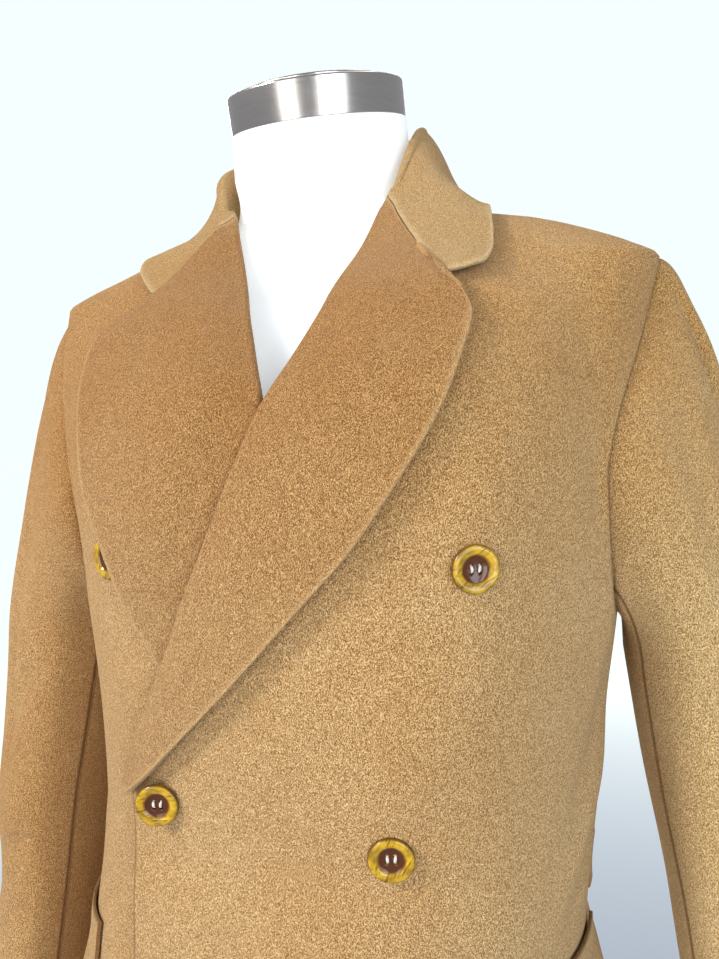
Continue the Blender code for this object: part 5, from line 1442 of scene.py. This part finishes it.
FORM_ROWS.append(
    (
        CAP_CENTRE[2] - SEAM * math.cos(CAP_TILT), NECK_RADIUS, cap_depth, cap_depth,
        CAP_CENTRE[0], CAP_CENTRE[1] + SEAM * math.sin(CAP_TILT), math.tan(CAP_TILT),
    )
)


def shell_white(name):
    """Smooth white shell, faintly cool, with the softest unevenness of a moulded skin. A faint glow of painted
    light washes out its shade.
    """
    # Painted light: a faint cool glow that lightens the shell's shade.
    shader = Shader(name, Specular_IOR_Level=0.35, Emission_Strength=0.34)
    shader.surface.inputs["Emission Color"].default_value = (0.82, 0.94, 1.0, 1)
    soft = shader.noise(shader.place(), 26.0, 2.0)
    colour = shader.mixed(shader.ranged(soft, 0.3, 0.7), (0.90, 0.92, 0.925), (0.94, 0.955, 0.96))
    normal = shader.bumped(soft, 0.05, 0.001)
    return shader.finish(Base_Color=colour, Roughness=shader.ranged(soft, 0.2, 0.8, 0.42, 0.5), Normal=normal)


def closed_rings(name, points, steps, finish, smooth_angle=50):
    """A solid through level rings of points, closed by a flat face at each end."""
    faces = []
    count = len(points) // steps
    for ring in range(count - 1):
        for i in range(steps):
            j = (i + 1) % steps
            low = ring * steps
            faces.append([low + i, low + j, low + steps + j, low + steps + i])
    faces.append(list(range(steps))[::-1])
    faces.append(list(range((count - 1) * steps, count * steps)))
    return add_mesh(name, points, faces, [finish], 0, smooth_angle)


form_rows = table(FORM_COLUMNS, FORM_ROWS)
form_at = {name: curve(form_rows["height"], form_rows[name]) for name in FORM_COLUMNS[1:]}
spans = zip(form_rows["height"], form_rows["height"][1:])
form_heights = np.concatenate([np.linspace(low, high, 5)[:-1] for low, high in spans])
form_heights = np.append(form_heights, form_rows["height"][-1])
around = np.arange(FORM_STEPS) * 2 * math.pi / FORM_STEPS
form_points = []
for height in form_heights:
    at = {name: float(form_at[name](height)) for name in form_at}
    depth = np.where(np.cos(around) > 0, at["front"], at["back"])
    y = -depth * np.cos(around)
    x = at["centre_x"] + at["half_width"] * np.sin(around)
    form_points.append(np.stack([x, at["centre_y"] + y, height + at["tilt"] * y], -1))
torso = closed_rings(
    "form_body_shell", settled(np.concatenate(form_points)), FORM_STEPS, shell_white("white_shell")
)
declare(torso, "form_body")

# ========================================
# Neck cap: a turned drum of brushed steel that closes the neck, with a thin disc on top, leaning forward.
# ========================================

CAP_RADIUS = 0.0620
CAP_HEIGHT = 0.0240
DISC_RADIUS = 0.0500
DISC_HEIGHT = 0.0035
CAP_STEPS_ROUND = 128


def brushed(name, tone, lines=(1, 1, 60)):
    """Steel brushed round its axis, with fine lines and a little cloudiness."""
    shader = Shader(name, Metallic=1.0, Anisotropic=0.5)
    grain = shader.noise(shader.place(lines), 60.0, 3.0, 0.7)
    cloud = shader.noise(shader.place(), 22.0, 2.0)
    dark = tuple(0.80 * t for t in tone)
    colour = shader.mixed(shader.ranged(grain, 0.3, 0.7) * 0.6 + cloud * 0.3, dark, tone)
    rough = shader.ranged(grain, 0.2, 0.8, 0.13, 0.24)
    normal = shader.bumped(grain, 0.08, 0.0002)
    return shader.finish(Base_Color=colour, Roughness=rough, Normal=normal)


def rounded_profile(corners, steps=5):
    """Profile points from corners of (reach, level, radius), each corner turned through its radius."""
    out = []
    for i, (reach, level, radius) in enumerate(corners):
        here = np.array([reach, level])
        if not radius:
            out.append(here)
            continue
        into = unit(np.array(corners[i - 1][:2]) - here)
        onward = unit(np.array(corners[i + 1][:2]) - here)
        for s in np.linspace(0, 1, steps):
            out.append(here + into * radius * (1 - s) ** 2 + onward * radius * s**2)
    return out


def turned_solid(name, corners, steps, finish, centre=(0, 0, 0), tilt=0.0):
    """A solid turned about its own axis, from the foot up, then leant forward by tilt about its centre."""
    points = []
    for reach, level in rounded_profile(corners):
        for i in range(steps):
            angle = 2 * math.pi * i / steps
            x, y = math.cos(angle) * reach, math.sin(angle) * reach
            back = y * math.cos(tilt) - level * math.sin(tilt)
            up = level * math.cos(tilt) + y * math.sin(tilt)
            points.append((centre[0] + x, centre[1] + back, centre[2] + up))
    return closed_rings(name, np.array(points), steps, finish, 35)


cap = turned_solid(
    "neck_cap_steel",
    (
        (CAP_RADIUS - 0.001, 0.0, 0.0),
        (CAP_RADIUS, 0.0, 0.0004),
        (CAP_RADIUS, CAP_HEIGHT, 0.0014),
        (DISC_RADIUS + 0.0016, CAP_HEIGHT, 0.0004),
        (DISC_RADIUS + 0.0012, CAP_HEIGHT - 0.0008, 0.0003),
        (DISC_RADIUS + 0.0002, CAP_HEIGHT - 0.0008, 0.0003),
        (DISC_RADIUS, CAP_HEIGHT + DISC_HEIGHT, 0.0010),
        (0.030, CAP_HEIGHT + DISC_HEIGHT, 0.0),
    ),
    CAP_STEPS_ROUND,
    brushed("brushed_steel", (0.60, 0.565, 0.53)),
    CAP_CENTRE,
    CAP_TILT,
)
declare(cap, "neck_cap")

# ========================================
# Stand: a steel pole that runs up into the form, on a round flat base.
# ========================================

POLE_RADIUS = 0.016
BASE_RADIUS = 0.170
BASE_THICK = 0.012
stand_steel = brushed("stand_steel", (0.66, 0.66, 0.66), (1, 1, 8))
pole = turned_solid(
    "stand_pole_steel",
    (
        (POLE_RADIUS - 0.001, BASE_THICK + SEAM, 0.0),
        (POLE_RADIUS, BASE_THICK + SEAM, 0.0004),
        (POLE_RADIUS, FORM_FOOT - SEAM, 0.0004),
        (POLE_RADIUS - 0.001, FORM_FOOT - SEAM, 0.0),
    ),
    64,
    stand_steel,
)
declare(pole, "stand_pole")
base = turned_solid(
    "stand_base_steel",
    (
        (BASE_RADIUS - 0.004, 0.0, 0.0),
        (BASE_RADIUS, 0.0, 0.0008),
        (BASE_RADIUS, BASE_THICK, 0.0030),
        (0.030, BASE_THICK, 0.0),
    ),
    128,
    stand_steel,
)
declare(base, "stand_base")

# ========================================
# Studio: a plain pale floor whose painted glow makes it paler away from the coat, an open pale air round
# it that only the camera sees bright, large soft lights, and the camera.
# ========================================

FLOOR_REACH = 40.0
FLOOR_NEAR, FLOOR_FAR = 1.2, 9.0  # squares of the distances between which the floor's painted glow comes up
points = [(x * FLOOR_REACH, y * FLOOR_REACH, 0) for x, y in ((-1, -1), (1, -1), (1, 1), (-1, 1))]
paper = Shader("pale_floor", Specular_IOR_Level=0.1, Roughness=0.9, Emission_Strength=1.0)
faint = paper.noise(paper.place(), 1.5, 2.0)
away = paper.along(0) * paper.along(0) + paper.along(1) * paper.along(1)
# Painted light: the floor's glow, almost none near the coat and pale far from it.
glow = paper.mixed(paper.ranged(away, FLOOR_NEAR, FLOOR_FAR), (0.02, 0.04, 0.08), (0.78, 0.85, 0.82))
pale = paper.mixed(faint, (0.36, 0.39, 0.43), (0.37, 0.41, 0.45))
floor_finish = paper.finish(Base_Color=pale, Emission_Color=glow)
floor = add_mesh("studio_floor", points, [[0, 1, 2, 3]], [floor_finish], 0, 60)
floor.visible_glossy = False
floor.visible_diffuse = False

world = bpy.data.worlds.new("studio_air")
bpy.context.scene.world = world
world.use_nodes = True
air = world.node_tree
soft_air = air.nodes["Background"]
soft_air.inputs["Color"].default_value = (0.90, 0.93, 1.0, 1)
soft_air.inputs["Strength"].default_value = 0.42
seen_air = air.nodes.new("ShaderNodeBackground")
seen_air.inputs["Color"].default_value = (0.92, 1.0, 1.0, 1)
ray = air.nodes.new("ShaderNodeLightPath")
either = air.nodes.new("ShaderNodeMixShader")
air.links.new(ray.outputs["Is Camera Ray"], either.inputs[0])
air.links.new(soft_air.outputs[0], either.inputs[1])
air.links.new(seen_air.outputs[0], either.inputs[2])
air.links.new(either.outputs[0], air.nodes["World Output"].inputs["Surface"])
bpy.context.scene.view_settings.view_transform = "Standard"

# Name, place, what it faces, width and height, watts, and colour.
LIGHTS = (
    ("high_light", (-1.5, -1.3, 2.5), (0.0, 0.0, 1.25), (0.60, 0.5), 46.0, (1.0, 0.95, 0.88)),
    ("window_left", (-0.46, -1.55, 1.35), (0.0, 0.0, 1.30), (0.60, 1.2), 8.0, (1.0, 0.98, 0.95)),
    ("window_middle", (0.78, -1.42, 1.35), (0.0, 0.0, 1.30), (0.32, 1.2), 7.5, (1.0, 1.0, 1.0)),
    ("window_right", (1.15, -1.12, 1.35), (0.0, 0.0, 1.30), (0.36, 1.2), 8.0, (0.82, 0.92, 1.0)),
    ("back_light", (0.3, 0.55, 3.0), (0.0, 0.0, 1.20), (1.60, 0.5), 8.0, (1.0, 1.0, 1.0)),
    ("rear_light", (-0.9, 2.4, 2.6), (0.0, 0.0, 1.00), (1.40, 1.4), 55.0, (1.0, 0.98, 0.95)),
)
for name, place, aim, size, power, colour in LIGHTS:
    lamp = bpy.data.lights.new(name, "AREA")
    lamp.shape = "RECTANGLE"
    lamp.size, lamp.size_y = size
    lamp.energy = power
    lamp.color = colour
    holder = bpy.data.objects.new(name, lamp)
    holder.location = place
    holder.visible_camera = False
    holder.rotation_euler = (Vector(aim) - Vector(place)).to_track_quat("-Z", "Y").to_euler()
    bpy.context.scene.collection.objects.link(holder)

CAMERA_PLACE = (0.169, -0.509, 1.321)
CAMERA_AZIMUTH = math.radians(16.6)
CAMERA_PITCH = math.radians(-4.6)
CAMERA_ROLL = math.radians(-2.5)
FOCAL_PIXELS = 722.0
IMAGE_TALL = 959.0
SENSOR_TALL = 36.0  # millimetres
ahead = np.array(
    [
        -math.sin(CAMERA_AZIMUTH) * math.cos(CAMERA_PITCH),
        math.cos(CAMERA_AZIMUTH) * math.cos(CAMERA_PITCH),
        math.sin(CAMERA_PITCH),
    ]
)
level_right = np.array([math.cos(CAMERA_AZIMUTH), math.sin(CAMERA_AZIMUTH), 0.0])
level_up = np.cross(level_right, ahead)
right = level_right * math.cos(CAMERA_ROLL) + level_up * math.sin(CAMERA_ROLL)
upward = -level_right * math.sin(CAMERA_ROLL) + level_up * math.cos(CAMERA_ROLL)
lens = bpy.data.cameras.new("photo_camera")
lens.sensor_fit = "VERTICAL"
lens.sensor_height = SENSOR_TALL
lens.lens = FOCAL_PIXELS / IMAGE_TALL * SENSOR_TALL
lens.clip_start = 0.02
camera = bpy.data.objects.new("photo_camera", lens)
columns = [(*right, 0), (*upward, 0), (*-ahead, 0), (*CAMERA_PLACE, 1)]
camera.matrix_world = Matrix(np.array(columns).T.tolist())
bpy.context.scene.collection.objects.link(camera)
bpy.context.scene.camera = camera
